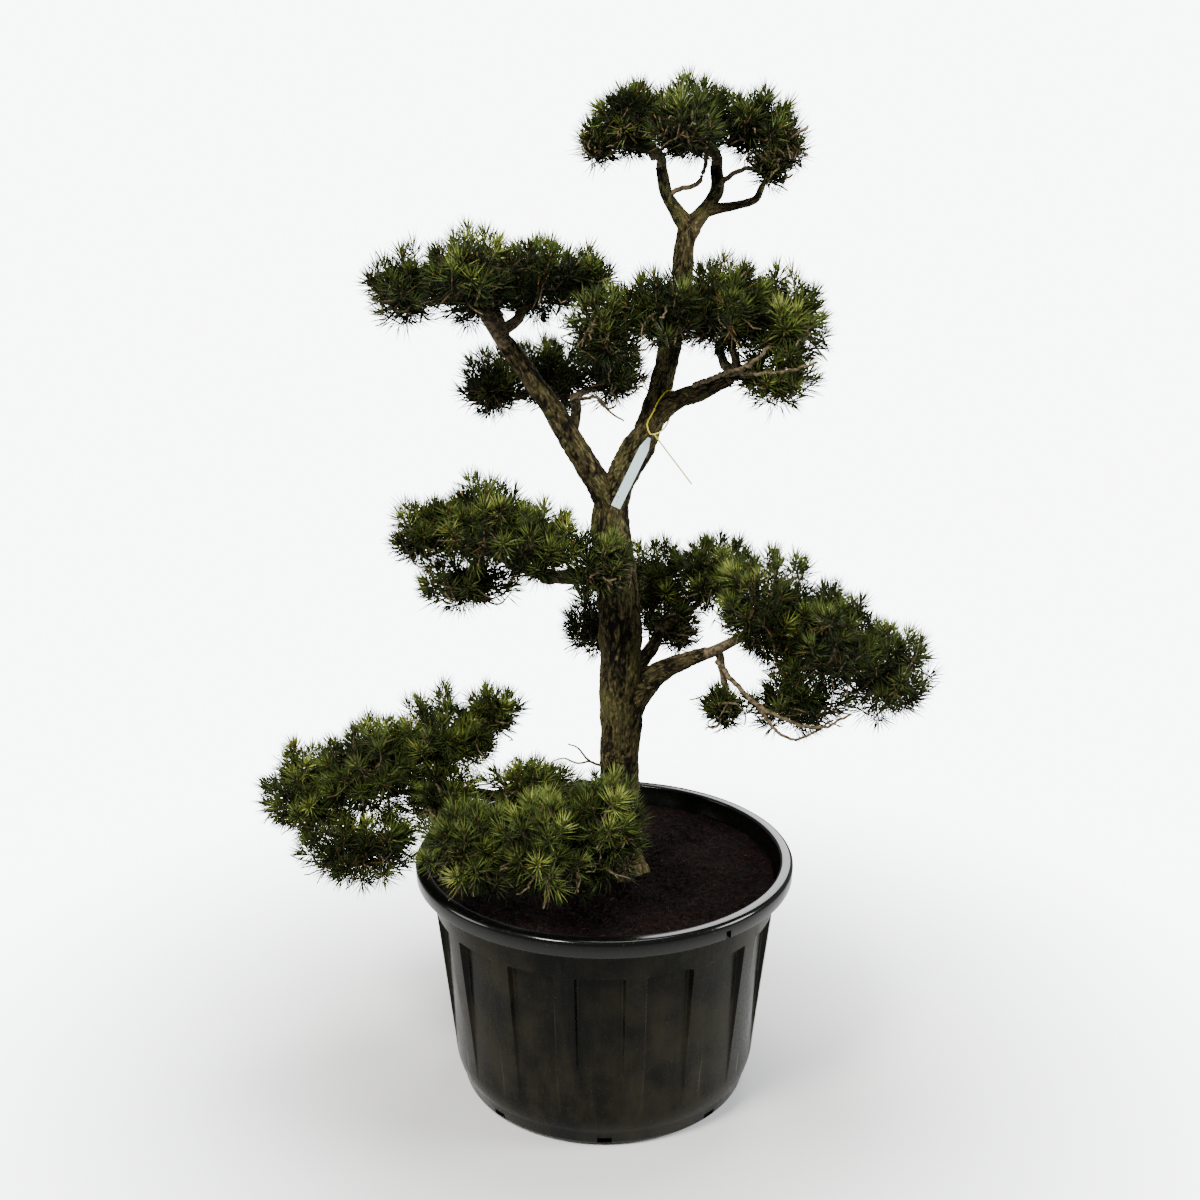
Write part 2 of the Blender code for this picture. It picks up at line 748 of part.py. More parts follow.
def needles_from(shape, faces, direction, pad):
    """Draws each face out to a point that leans towards the spray's own direction."""
    for face in faces:
        lean = (face.normal + direction * NEEDLE_LEAN).normalized()
        tip = bmesh.ops.poke(shape, faces=[face])["verts"][0]
        root = tip.co.copy()
        length = NEEDLE_LENGTH
        while length > NEEDLE_LENGTH * SHORTEST_NEEDLE:
            end = root + lean * length
            if depth_in_pad(end, pad) <= TIP_REACH[1] and within_space(end, pad):
                break
            length *= PULL_SHARE
        tip.co = root + lean * length


def hubs_from(root, lobes):
    """Links each lobe's hub to the nearest place reached so far: (start, end, how many links before)."""
    hubs = [Vector((x, y, z - HUB_DROP * high)) for x, y, z, _, _, high in lobes]
    reached = [(root, 0)]
    links = []
    waiting = list(range(len(hubs)))
    while waiting:
        _, i, k = min(
            ((hubs[i] - place).length + LEVEL_COST * level, i, k)
            for i in waiting
            for k, (place, level) in enumerate(reached)
        )
        place, level = reached[k]
        links.append((place, hubs[i], level))
        reached.append((hubs[i], level + 1))
        waiting.remove(i)
    return links, hubs


def make_stem(pad, line, lobes, parts, pieces):
    """The stem from the bough's end to the first hub, and the links from there to the other hubs."""
    route, radii = line
    heading = (route[-1] - route[-2]).normalized()
    first = route[-1] + heading * CLEAR
    elbow = first + heading * STEM_LEAD
    links, hubs = hubs_from(elbow, lobes)
    stem_route, stations = smooth_route((first, elbow, links[0][1]), STEM_LEAD)
    thick, thin = radii[-1], radii[-1] * STEM_TAPER
    stem_radii = [thick + (thin - thick) * station / stations[-1] for station in stations]
    stem = tube(pad, stem_route, stem_radii, 1, parts)
    for start, end, level in links[1:]:
        link_radius = max(thin * STEM_TAPER ** (level - 0.5), TWIG_RADIUS)
        twig(start, end, link_radius, TWIG_RADIUS, 4, pieces)
    return stem, hubs


def make_core(lobe, rng, pieces):
    x, y, z, wide, deep, high = lobe
    core = bmesh.new()
    bmesh.ops.create_uvsphere(core, u_segments=6, v_segments=3, radius=CORE_SHARE)
    for vertex in core.verts:
        vertex.co *= rng.uniform(1.0 - CORE_JITTER, 1.0 + CORE_JITTER)
    place = Matrix.Translation((x, y, z)) @ Matrix.Diagonal((wide, deep, high, 1.0))
    bmesh.ops.transform(core, matrix=place, verts=core.verts)
    object_from_bmesh("core", core, pieces)


def tips_on(lobe, index, rng):
    """Where a lobe's sprays would end, from its top down, each with the twist of its twig."""
    x, y, z, wide, deep, high = lobe
    for i in range(SPRAY_TRIES):
        up = 1.0 - (1.0 - LOWEST_DIRECTION) * (i + 0.5) / SPRAY_TRIES
        turn = GOLDEN_ANGLE * i + index + rng.uniform(-TURN_JITTER, TURN_JITTER)
        side = math.sqrt(1.0 - up * up)
        reach = rng.uniform(*TIP_REACH)
        outline = Vector((side * math.cos(turn) * wide, side * math.sin(turn) * deep, up * high))
        yield Vector((x, y, z)) + outline * reach, rng.uniform(0.0, math.tau)


def make_sprays(pad, lobes, hubs, lines, rng, pieces):
    taken = []
    for index, (hub, lobe) in enumerate(zip(hubs, lobes)):
        others = [other for other in lobes if other is not lobe]
        for tip, twist in tips_on(lobe, index, rng):
            if any(depth_in_lobe(tip, other) < HIDDEN_DEPTH for other in others):
                continue
            if any((tip - other).length < SPRAY_SPACING for other in taken):
                continue
            direction = ((tip - hub).normalized() + Vector((0, 0, UPTURN))).normalized()
            spray_length = NEEDLE_LENGTH + len(BUD_RADII) * BUD_STEP
            half_way = (tip - Vector(lobe[:3])).length / 2
            root = tip - direction * min(spray_length, half_way)
            shape = spray(hub, root, direction, twist, pad)
            places = [vertex.co.copy() for vertex in shape.verts if (vertex.co - hub).length > 2 * TWIG_RADIUS]
            places += [root.lerp(place, 0.5) for place in places]
            places += [hub.lerp(root, 0.5), hub.lerp(root, 0.75)]
            if fits(places, pad, lines, LIMB_MARGIN):
                object_from_bmesh("spray", shape, pieces)
                taken.append(tip)
            else:
                shape.free()


def make_foliage(pad, lines, parts):
    """One branching solid: a stem, its links and cores, and the sprays, joined by one union."""
    bough, lobes = PADS[pad]
    rng = random.Random(pad)
    pieces = new_collection(pad + "_pieces")
    foliage, hubs = make_stem(pad, lines[bough], lobes, parts, pieces)
    for lobe in lobes:
        make_core(lobe, rng, pieces)
    make_sprays(pad, lobes, hubs, lines, rng, pieces)
    union = foliage.modifiers.new("union", "BOOLEAN")
    union.operation = "UNION"
    union.operand_type = "COLLECTION"
    union.collection = pieces
    union.solver = "MANIFOLD"
    apply_modifiers(foliage)
    for piece in list(pieces.objects):
        bpy.data.objects.remove(piece, do_unlink=True)
    bpy.data.collections.remove(pieces)
    keep_largest_body(foliage)
    give_material(foliage, "foliage")


def main():
    clear_scene()
    parts = new_collection("lodgepole_pine_bonsai")
    cutters = new_collection("cutters")
    make_pot(parts, cutters)
    make_soil(parts)
    trunk, route, radii = make_trunk(parts)
    limbs = {"trunk": trunk}
    lines = {"trunk": (route, radii)}
    make_boughs(limbs, lines, parts, cutters)
    make_tie(lines, parts)
    make_label(limbs, parts)
    for pad in PADS:
        make_foliage(pad, lines, parts)
    bpy.data.collections.remove(cutters)
    for item in parts.objects:
        print(item.name, sum(len(p.vertices) - 2 for p in item.data.polygons))


main()
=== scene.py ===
"""Looks for a lodgepole pine bonsai: pads of needles on a winding trunk, in a round nursery tub."""
import math
import random

import bmesh
import bpy
import numpy as np
from mathutils import Matrix, Vector, noise


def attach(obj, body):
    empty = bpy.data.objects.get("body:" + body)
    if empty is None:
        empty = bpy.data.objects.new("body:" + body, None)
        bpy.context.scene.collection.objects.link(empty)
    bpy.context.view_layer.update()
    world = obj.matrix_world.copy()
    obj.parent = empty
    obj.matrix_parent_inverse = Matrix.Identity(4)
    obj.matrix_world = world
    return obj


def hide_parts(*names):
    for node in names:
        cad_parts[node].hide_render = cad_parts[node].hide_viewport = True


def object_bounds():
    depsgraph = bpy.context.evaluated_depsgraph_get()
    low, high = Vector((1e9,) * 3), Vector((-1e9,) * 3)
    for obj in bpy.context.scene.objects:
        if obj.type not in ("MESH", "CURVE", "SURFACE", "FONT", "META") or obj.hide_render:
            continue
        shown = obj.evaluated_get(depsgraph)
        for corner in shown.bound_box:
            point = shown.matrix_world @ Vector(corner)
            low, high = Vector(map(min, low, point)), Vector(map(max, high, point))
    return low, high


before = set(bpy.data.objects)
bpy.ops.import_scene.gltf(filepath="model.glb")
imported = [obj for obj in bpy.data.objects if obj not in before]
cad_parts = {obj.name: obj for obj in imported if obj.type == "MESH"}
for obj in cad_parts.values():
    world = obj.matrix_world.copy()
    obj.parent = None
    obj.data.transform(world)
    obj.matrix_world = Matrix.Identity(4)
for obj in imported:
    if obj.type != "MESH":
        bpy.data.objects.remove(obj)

cad_low, cad_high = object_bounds()


# Studio: a pale floor, a pale surround and large soft lights. The camera stands at the height of the
# crown and looks a little down into the tub.
CAMERA_PLACE = (-0.008, -2.570, 1.651)
CAMERA_PITCH = math.radians(15.6)
CAMERA_LENS = 45.0
FLOOR_COLOUR = (0.86, 0.86, 0.85)
SURROUND_COLOUR = (0.93, 0.96, 1.0)
SURROUND_STRENGTH = 0.34
BACKDROP_STRENGTH = 9.0
FLOOR_RADIUS = 6.0
FLOOR_FADE = (0.38, 1.7)


def aimed_light(name, place, target, size, energy, colour):
    lamp = bpy.data.lights.new(name, "AREA")
    lamp.shape = "DISK"
    lamp.size = size
    lamp.energy = energy
    lamp.color = colour
    light = bpy.data.objects.new(name, lamp)
    bpy.context.scene.collection.objects.link(light)
    light.location = place
    light.rotation_euler = (Vector(target) - Vector(place)).to_track_quat("-Z", "Y").to_euler()
    return light


view = bpy.data.cameras.new("photo_view")
view.lens = CAMERA_LENS
view.sensor_width = 36.0
camera = bpy.data.objects.new("photo_view", view)
bpy.context.scene.collection.objects.link(camera)
camera.location = CAMERA_PLACE
camera.rotation_euler = (math.pi / 2 - CAMERA_PITCH, 0.0, 0.0)
bpy.context.scene.camera = camera

aimed_light("key_light", (-1.7, -2.2, 3.7), (0.0, 0.0, 1.1), 1.1, 230.0, (1.0, 0.98, 0.92))
aimed_light("left_light", (-2.9, -0.5, 1.3), (0.0, 0.0, 0.6), 1.4, 44.0, (1.0, 1.0, 0.98))
aimed_light("right_light", (2.9, -0.6, 1.5), (0.0, 0.0, 0.6), 1.4, 125.0, (0.97, 0.99, 1.0))
aimed_light("back_light", (1.0, 3.0, 2.3), (0.0, 0.0, 0.8), 1.8, 70.0, (1.0, 1.0, 1.0))
aimed_light("top_light", (0.4, 0.5, 4.3), (0.0, 0.0, 1.0), 1.6, 150.0, (1.0, 1.0, 0.96))

surround = bpy.data.worlds.new("surround")
surround.use_nodes = True
sky = surround.node_tree.nodes["Background"]
sky.inputs["Color"].default_value = (*SURROUND_COLOUR, 1.0)
rays = surround.node_tree.nodes.new("ShaderNodeLightPath")
brightness = surround.node_tree.nodes.new("ShaderNodeMapRange")
brightness.inputs["To Min"].default_value = SURROUND_STRENGTH
brightness.inputs["To Max"].default_value = BACKDROP_STRENGTH
surround.node_tree.links.new(rays.outputs["Is Camera Ray"], brightness.inputs["Value"])
surround.node_tree.links.new(brightness.outputs["Result"], sky.inputs["Strength"])
bpy.context.scene.world = surround


def object_from(shape, name):
    """A finished piece from a bmesh, with its place in its mesh."""
    mesh = bpy.data.meshes.new(name)
    shape.to_mesh(mesh)
    shape.free()
    piece = bpy.data.objects.new(name, mesh)
    bpy.context.scene.collection.objects.link(piece)
    return piece


def plain_material(name, colour, roughness, gloss=0.15):
    material = bpy.data.materials.new(name)
    material.use_nodes = True
    shader = material.node_tree.nodes["Principled BSDF"]
    shader.inputs["Base Color"].default_value = (*colour, 1.0)
    shader.inputs["Roughness"].default_value = roughness
    shader.inputs["Specular IOR Level"].default_value = gloss
    return material


shape = bmesh.new()
bmesh.ops.create_circle(shape, cap_ends=True, segments=128, radius=FLOOR_RADIUS)
floor = object_from(shape, "studio_floor")
paper = plain_material("studio_floor", FLOOR_COLOUR, 0.9)
spot = paper.node_tree.nodes.new("ShaderNodeTexCoord")
distance = paper.node_tree.nodes.new("ShaderNodeVectorMath")
distance.operation = "LENGTH"
fade = paper.node_tree.nodes.new("ShaderNodeMapRange")
fade.interpolation_type = "SMOOTHSTEP"
fade.inputs["From Min"].default_value = FLOOR_FADE[1]
fade.inputs["From Max"].default_value = FLOOR_FADE[0]
paper.node_tree.links.new(spot.outputs["Object"], distance.inputs[0])
paper.node_tree.links.new(distance.outputs["Value"], fade.inputs["Value"])
paper.node_tree.links.new(fade.outputs["Result"], paper.node_tree.nodes["Principled BSDF"].inputs["Alpha"])
floor.data.materials.append(paper)


# Tub: a turned form of black plastic with a thick rolled lip, a plain collar and tapering recessed
# panels between ribs. It is injection moulded, with drain slots through its lower corner and a small
# notch under the lip.
POT_HEIGHT = 0.447
RIM_RADIUS = 0.350
LIP_DROP = 0.032
LIP_INNER_RADIUS = 0.326
LIP_ROUND = 0.008
LIP_INNER_ROUND = 0.005
LIP_FILLET = 0.004
LIP_UNDERCUT = 0.005
FOOT_RADIUS = 0.250
FOOT_EASE = 0.001
CORNER_ROUND = 0.018
SIDE_FOOT = (0.2725, 0.031)
SIDE_CURVE = 0.46
WALL_LOW = (0.2835, 0.070)
WALL_HIGH = (0.3220, 0.415)
WALL_THICKNESS = 0.004
FLOOR_THICKNESS = 0.005
COLLAR_MIDDLE = 0.385
PANELS = 16
PANEL_TOP = 0.352
SHELF_RISE = 0.007
SHELF_ROUND = 0.002
PANEL_DEPTH = 0.013
PANEL_HALF = math.radians(8.0)
PANEL_EDGE = math.radians(0.7)
PANEL_TURN = math.radians(-91.5)
PANEL_COLUMNS = 45
WALL_ROWS = 20
FOOT_TURN = 0.085
FOOT_ROWS = 8
SHELF_ROWS = 4
DRAINS = 8
DRAIN_SIZE = (0.026, 0.050, 0.012)
DRAIN_LIFT = 0.003
NOTCH_SIZE = (0.011, 0.014, 0.018)
NOTCH_TURN = math.radians(36.9)
NOTCH_DROP = 0.002
SEAM = 0.00005
NEAR_WALL = 0.001
LIP_GLOSS_HEIGHTS = (0.408, 0.416)
DUST_HEIGHTS = (0.412, 0.400)


def arc(centre, radius, first, last, steps):
    """Points of a profile on an arc, with angles in degrees from the outward direction."""
    for i in range(steps + 1):
        angle = math.radians(first + (last - first) * i / steps)
        yield centre[0] + radius * math.cos(angle), centre[1] + radius * math.sin(angle)


def wall_radius(height):
    (low_radius, low), (high_radius, high) = WALL_LOW, WALL_HIGH
    return low_radius + (high_radius - low_radius) * (height - low) / (high - low)


def smooth_step(value):
    value = min(1.0, max(0.0, value))
    return value * value * (3.0 - 2.0 * value)


def panel_depth(angle, height):
    """How far the outer wall is set in: most at a panel's top, nothing at its foot and on the ribs."""
    if height <= PANEL_TOP:
        down = max(0.0, (height - WALL_LOW[1]) / (PANEL_TOP - WALL_LOW[1]))
    else:
        down = 1.0 - smooth_step((height - PANEL_TOP) / SHELF_RISE)
    period = math.tau / PANELS
    off = abs((angle - PANEL_TURN + period / 2) % period - period / 2)
    return PANEL_DEPTH * down * smooth_step((PANEL_HALF - off) / PANEL_EDGE)


def tub_profile():
    shelf = PANEL_TOP + SHELF_RISE
    lip_foot = POT_HEIGHT - LIP_DROP
    yield 0.0, 0.0
    yield FOOT_RADIUS, 0.0
    yield from arc((FOOT_RADIUS + FOOT_EASE, CORNER_ROUND), CORNER_ROUND, -90, -20, 5)
    (low_radius, low), high_radius, high = SIDE_FOOT, wall_radius(FOOT_TURN), FOOT_TURN
    for i in range(FOOT_ROWS):
        t = i / FOOT_ROWS
        bulge = 2 * t * (1 - t)
        radius = low_radius * (1 - t) ** 2 + (high_radius - FOOT_EASE) * bulge + high_radius * t**2
        yield radius, low * (1 - t) ** 2 + (low + high) * SIDE_CURVE * bulge + high * t**2
    for i in range(2, WALL_ROWS + 1):
        height = WALL_LOW[1] + (PANEL_TOP - WALL_LOW[1]) * i / WALL_ROWS
        yield wall_radius(height), height
    for i in range(1, SHELF_ROWS + 1):
        height = PANEL_TOP + SHELF_RISE * i / SHELF_ROWS
        yield wall_radius(height), height
    yield wall_radius(shelf + SHELF_ROUND), shelf + SHELF_ROUND
    yield wall_radius(COLLAR_MIDDLE), COLLAR_MIDDLE
    yield wall_radius(lip_foot - LIP_FILLET), lip_foot - LIP_FILLET
    yield WALL_HIGH[0] + LIP_FILLET, lip_foot
    yield from arc((RIM_RADIUS - LIP_UNDERCUT, lip_foot + LIP_FILLET), LIP_FILLET, -90, 0, 3)
    yield from arc((RIM_RADIUS - LIP_ROUND, POT_HEIGHT - LIP_ROUND), LIP_ROUND, 0, 90, 6)
    inner = (LIP_INNER_RADIUS + LIP_INNER_ROUND, POT_HEIGHT - LIP_INNER_ROUND)
    yield from arc(inner, LIP_INNER_ROUND, 90, 180, 4)
    yield wall_radius(COLLAR_MIDDLE) - WALL_THICKNESS, COLLAR_MIDDLE
    yield wall_radius(PANEL_TOP) - PANEL_DEPTH - WALL_THICKNESS, PANEL_TOP
    yield WALL_LOW[0] - WALL_THICKNESS, WALL_LOW[1]
    yield FOOT_RADIUS, FLOOR_THICKNESS
    yield 0.0, FLOOR_THICKNESS


def turned(profile, steps):
    """A form turned once round the upright axis from its profile's points (radius, height)."""
    shape = bmesh.new()
    corners = [shape.verts.new((radius, 0.0, height)) for radius, height in profile]
    edges = [shape.edges.new(pair) for pair in zip(corners, corners[1:])]
    bmesh.ops.spin(
        shape,
        geom=corners + edges,
        cent=(0, 0, 0),
        axis=(0, 0, 1),
        angle=math.tau,
        steps=steps,
        use_merge=True,
    )
    bmesh.ops.remove_doubles(shape, verts=shape.verts, dist=SEAM)
    bmesh.ops.recalc_face_normals(shape, faces=shape.faces)
    return shape


shape = turned(tub_profile(), PANELS * PANEL_COLUMNS)
for vertex in shape.verts:
    x, y, z = vertex.co
    radius = math.hypot(x, y)
    if WALL_LOW[1] - NEAR_WALL < z < PANEL_TOP + SHELF_RISE and radius > wall_radius(z) - NEAR_WALL:
        share = 1.0 - panel_depth(math.atan2(y, x), z) / radius
        vertex.co.x *= share
        vertex.co.y *= share
tub = object_from(shape, "tub")


def cutter(shape, angle, radius, foot, size):
    """A box in the shape that cuts a slot, turned round the tub's axis, with its foot at a height."""
    place = Matrix.Translation((0.0, -radius, foot + size[2] / 2))
    turn = Matrix.Rotation(angle, 4, "Z")
    bmesh.ops.create_cube(shape, size=1.0, matrix=turn @ place @ Matrix.Diagonal((*size, 1.0)))


shape = bmesh.new()
for i in range(DRAINS):
    angle = math.tau * i / DRAINS
    cutter(shape, angle, FOOT_RADIUS + CORNER_ROUND, FLOOR_THICKNESS + DRAIN_LIFT, DRAIN_SIZE)
cutter(shape, NOTCH_TURN, RIM_RADIUS, POT_HEIGHT - LIP_DROP - NOTCH_DROP, NOTCH_SIZE)
slots = object_from(shape, "drain_slots")
cut = tub.modifiers.new("drains", "BOOLEAN")
cut.operation = "DIFFERENCE"
cut.object = slots
bpy.context.view_layer.update()
whole = tub.evaluated_get(bpy.context.evaluated_depsgraph_get())
tub.data = bpy.data.meshes.new_from_object(whole)
tub.modifiers.clear()
bpy.data.objects.remove(slots, do_unlink=True)
tub.data.shade_smooth()
tub.data.set_sharp_from_angle(angle=math.radians(30))


# A noise gives every material its mottling, as a mask from 0 to 1 that a node group puts out.
mottle = bpy.data.node_groups.new("mottle", "ShaderNodeTree")
mottle.interface.new_socket(name="Place", in_out="INPUT", socket_type="NodeSocketVector")
for label in ("Scale", "Low", "High"):
    mottle.interface.new_socket(name=label, in_out="INPUT", socket_type="NodeSocketFloat")
mottle.interface.new_socket(name="Mask", in_out="OUTPUT", socket_type="NodeSocketFloat")
entry = mottle.nodes.new("NodeGroupInput")
grains = mottle.nodes.new("ShaderNodeTexNoise")
grains.inputs["Detail"].default_value = 4.0
grains.inputs["Roughness"].default_value = 0.6
mottle.links.new(entry.outputs["Place"], grains.inputs["Vector"])
mottle.links.new(entry.outputs["Scale"], grains.inputs["Scale"])
spread = mottle.nodes.new("ShaderNodeMapRange")
spread.interpolation_type = "SMOOTHSTEP"
mottle.links.new(grains.outputs["Fac"], spread.inputs["Value"])
mottle.links.new(entry.outputs["Low"], spread.inputs["From Min"])
mottle.links.new(entry.outputs["High"], spread.inputs["From Max"])
mottle.links.new(spread.outputs["Result"], mottle.nodes.new("NodeGroupOutput").inputs["Mask"])


class Finish:
    """A material under construction: its node tree, its shader and short ways to add nodes to it."""

    def __init__(self, name, roughness):
        self.material = bpy.data.materials.new(name)
        self.material.use_nodes = True
        self.nodes = self.material.node_tree.nodes
        self.links = self.material.node_tree.links
        self.shader = self.nodes["Principled BSDF"]
        self.shader.inputs["Roughness"].default_value = roughness

    def place(self, stretch=(1.0, 1.0, 1.0), attribute=None):
        """Object coordinates, or an attribute of the mesh, stretched."""
        if attribute:
            source = self.nodes.new("ShaderNodeAttribute")
            source.attribute_name = attribute
            vector = source.outputs["Vector"]
        else:
            source = self.nodes.new("ShaderNodeTexCoord")
            vector = source.outputs["Object"]
        mapping = self.nodes.new("ShaderNodeMapping")
        mapping.inputs["Scale"].default_value = stretch
        self.links.new(vector, mapping.inputs["Vector"])
        return mapping.outputs["Vector"]

    def mottle(self, place, scale, low, high):
        node = self.nodes.new("ShaderNodeGroup")
        node.node_tree = mottle
        node.inputs["Scale"].default_value = scale
        node.inputs["Low"].default_value = low
        node.inputs["High"].default_value = high
        self.links.new(place, node.inputs["Place"])
        return node.outputs["Mask"]

    def mix(self, mask, first, second):
        """One colour or the other by the mask. Each is a colour or another node's output."""
        node = self.nodes.new("ShaderNodeMix")
        node.data_type = "RGBA"
        self.links.new(mask, node.inputs["Factor"])
        for value, socket in ((first, node.inputs[6]), (second, node.inputs[7])):
            if isinstance(value, tuple):
                socket.default_value = (*value, 1.0)
            else:
                self.links.new(value, socket)
        return node.outputs[2]

    def span(self, value, given, wanted):
        """A value that runs between two given ends, mapped to two wanted ones."""
        node = self.nodes.new("ShaderNodeMapRange")
        node.inputs["From Min"].default_value, node.inputs["From Max"].default_value = given
        node.inputs["To Min"].default_value, node.inputs["To Max"].default_value = wanted
        self.links.new(value, node.inputs["Value"])
        return node.outputs["Result"]

    def combine(self, operation, first, second):
        node = self.nodes.new("ShaderNodeMath")
        node.operation = operation
        for value, socket in ((first, node.inputs[0]), (second, node.inputs[1])):
            if isinstance(value, float):
                socket.default_value = value
            else:
                self.links.new(value, socket)
        return node.outputs[0]

    def bump(self, height, distance, strength):
        node = self.nodes.new("ShaderNodeBump")
        node.inputs["Distance"].default_value = distance
        node.inputs["Strength"].default_value = strength
        self.links.new(height, node.inputs["Height"])
        self.links.new(node.outputs["Normal"], self.shader.inputs["Normal"])

    def colour(self, value):
        self.links.new(value, self.shader.inputs["Base Color"])

    def roughness(self, value):
        self.links.new(value, self.shader.inputs["Roughness"])


plastic = Finish("tub_plastic", 0.34)
plastic.shader.inputs["Specular IOR Level"].default_value = 0.06
place = plastic.place()
streaks = plastic.place((1.0, 1.0, 0.16))
dust = plastic.mottle(place, scale=9.0, low=0.36, high=0.72)
runs = plastic.mottle(streaks, scale=34.0, low=0.40, high=0.75)
flecks = plastic.mottle(place, scale=210.0, low=0.60, high=0.72)
height = plastic.nodes.new("ShaderNodeSeparateXYZ")
plastic.links.new(place, height.inputs["Vector"])
below_lip = plastic.span(height.outputs["Z"], DUST_HEIGHTS, (0.0, 1.0))
bloom = plastic.combine("ADD", dust, plastic.combine("MULTIPLY", runs, 0.6))
bloom = plastic.combine("MULTIPLY", plastic.combine("MULTIPLY", bloom, below_lip), 0.55)
tone = plastic.mix(bloom, (0.0020, 0.0022, 0.0015), (0.0220, 0.0200, 0.0105))
tone = plastic.mix(plastic.combine("MULTIPLY", flecks, 0.5), tone, (0.030, 0.027, 0.018))
plastic.colour(tone)
plastic.roughness(plastic.span(bloom, (0.0, 0.8), (0.20, 0.46)))
plastic.bump(plastic.combine("ADD", dust, flecks), 0.0004, 0.35)
plastic.shader.inputs["Coat Roughness"].default_value = 0.12
lip_gloss = plastic.span(height.outputs["Z"], LIP_GLOSS_HEIGHTS, (0.0, 0.45))
plastic.links.new(lip_gloss, plastic.shader.inputs["Coat Weight"])
tub.data.materials.clear()
tub.data.materials.append(plastic.material)
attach(tub, "root")
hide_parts("pot")


# Soil: a plug of dark potting mix that ends a few centimetres under the lip. Its top is uneven, with
# bark chips, reddish fibres and a few pale crumbs pressed into it by watering.
SOIL_LEVEL = 0.410
SOIL_GAP = 0.0012
SOIL_SKIRT = 0.03
SOIL_RINGS = 76
SOIL_SIDES = 224
SOIL_RISE = 0.0055
LUMPS = 16.0
LUMP_LIMITS = (-0.9, 1.0)
CHIPS = 5200
FIBRES = 620
CRUMBS = 120
CHIP_SIZES = (0.003, 0.021)
CRUMB_SIZES = (0.002, 0.0045)
CHIP_WIDTHS = (0.14, 0.4)
CHIP_HEIGHTS = (0.08, 0.2)
FIBRE_STEPS = 5
FIBRE_STEP = 0.0048
FIBRE_RADIUS = 0.00055
soil_radius = wall_radius(SOIL_LEVEL) - WALL_THICKNESS - SOIL_GAP


def soil_height(x, y):
    lumps = noise.fractal(Vector((x, y, 0.0)) * LUMPS, 0.8, 2.1, 5)
    return SOIL_LEVEL + max(LUMP_LIMITS[0], min(LUMP_LIMITS[1], lumps)) * SOIL_RISE


profile = [(soil_radius * i / SOIL_RINGS, SOIL_LEVEL) for i in range(SOIL_RINGS + 1)]
shape = turned(profile + [(soil_radius, SOIL_LEVEL - SOIL_SKIRT)], SOIL_SIDES)
for vertex in shape.verts:
    if vertex.co.z > SOIL_LEVEL - SOIL_SKIRT / 2:
        vertex.co.z = soil_height(vertex.co.x, vertex.co.y)
soil = object_from(shape, "soil_top")
soil.data.shade_smooth()

mix = Finish("potting_mix", 0.95)
mix.shader.inputs["Specular IOR Level"].default_value = 0.08
place = mix.place()
chunks = mix.mottle(place, scale=95.0, low=0.42, high=0.66)
patches = mix.mottle(place, scale=7.0, low=0.40, high=0.66)
tone = mix.mix(patches, (0.0022, 0.0010, 0.0008), (0.0048, 0.0020, 0.0014))
tone = mix.mix(chunks, tone, (0.0110, 0.0040, 0.0026))
mix.colour(tone)
mix.bump(mix.combine("ADD", chunks, mix.mottle(place, scale=300.0, low=0.35, high=0.7)), 0.0022, 0.9)
soil.data.materials.append(mix.material)
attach(soil, "root")
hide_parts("soil")


def piece_from_arrays(name, points, faces, materials, slots=None, smooth=False):
    """A joined piece from an array of points and one of triangles."""
    mesh = bpy.data.meshes.new(name)
    mesh.vertices.add(len(points))
    mesh.vertices.foreach_set("co", points.astype(np.float32).ravel())
    mesh.loops.add(faces.size)
    mesh.loops.foreach_set("vertex_index", faces.astype(np.int32).ravel())
    mesh.polygons.add(len(faces))
    mesh.polygons.foreach_set("loop_start", np.arange(0, faces.size, 3, dtype=np.int32))
    if slots is not None:
        mesh.polygons.foreach_set("material_index", slots.astype(np.int32))
    mesh.polygons.foreach_set("use_smooth", np.full(len(faces), smooth))
    mesh.update(calc_edges=True)
    piece = bpy.data.objects.new(name, mesh)
    bpy.context.scene.collection.objects.link(piece)
    for material in materials:
        mesh.materials.append(material)
    return piece


def unit(vectors):
    return vectors / np.maximum(np.linalg.norm(vectors, axis=-1, keepdims=True), 1e-9)


def across(directions):
    """Two directions square to each given one and to each other."""
    upright = np.abs(directions[..., 2:3]) >= 0.9
    helper = np.where(upright, np.array([1.0, 0.0, 0.0]), np.array([0.0, 0.0, 1.0]))
    first = unit(np.cross(directions, helper))
    return first, np.cross(directions, first)


def chips(places, lengths, rng):
    """Four-sided splinters of bark that lie nearly flat, each with random turn: points and triangles."""
    count = len(places)
    turn = rng.uniform(0, math.tau, count)
    tilt = rng.normal(0, 0.22, count)
    along = np.stack([np.cos(turn), np.sin(turn), np.sin(tilt)], -1) * lengths[:, None] / 2
    side = np.stack([-np.sin(turn), np.cos(turn), rng.normal(0, 0.25, count)], -1)
    side *= (lengths * rng.uniform(*CHIP_WIDTHS, count))[:, None] / 2
    lift = np.array([0.0, 0.0, 1.0]) * (lengths * rng.uniform(*CHIP_HEIGHTS, count))[:, None]
    corners = np.stack([-along, side, along, -side, lift, -lift], 1) + places[:, None]
    upper = ((0, 3, 4), (3, 2, 4), (2, 1, 4), (1, 0, 4))
    lower = ((3, 0, 5), (2, 3, 5), (1, 2, 5), (0, 1, 5))
    faces = np.array(upper + lower)[None] + 6 * np.arange(count)[:, None, None]
    return corners.reshape(-1, 3), faces.reshape(-1, 3)


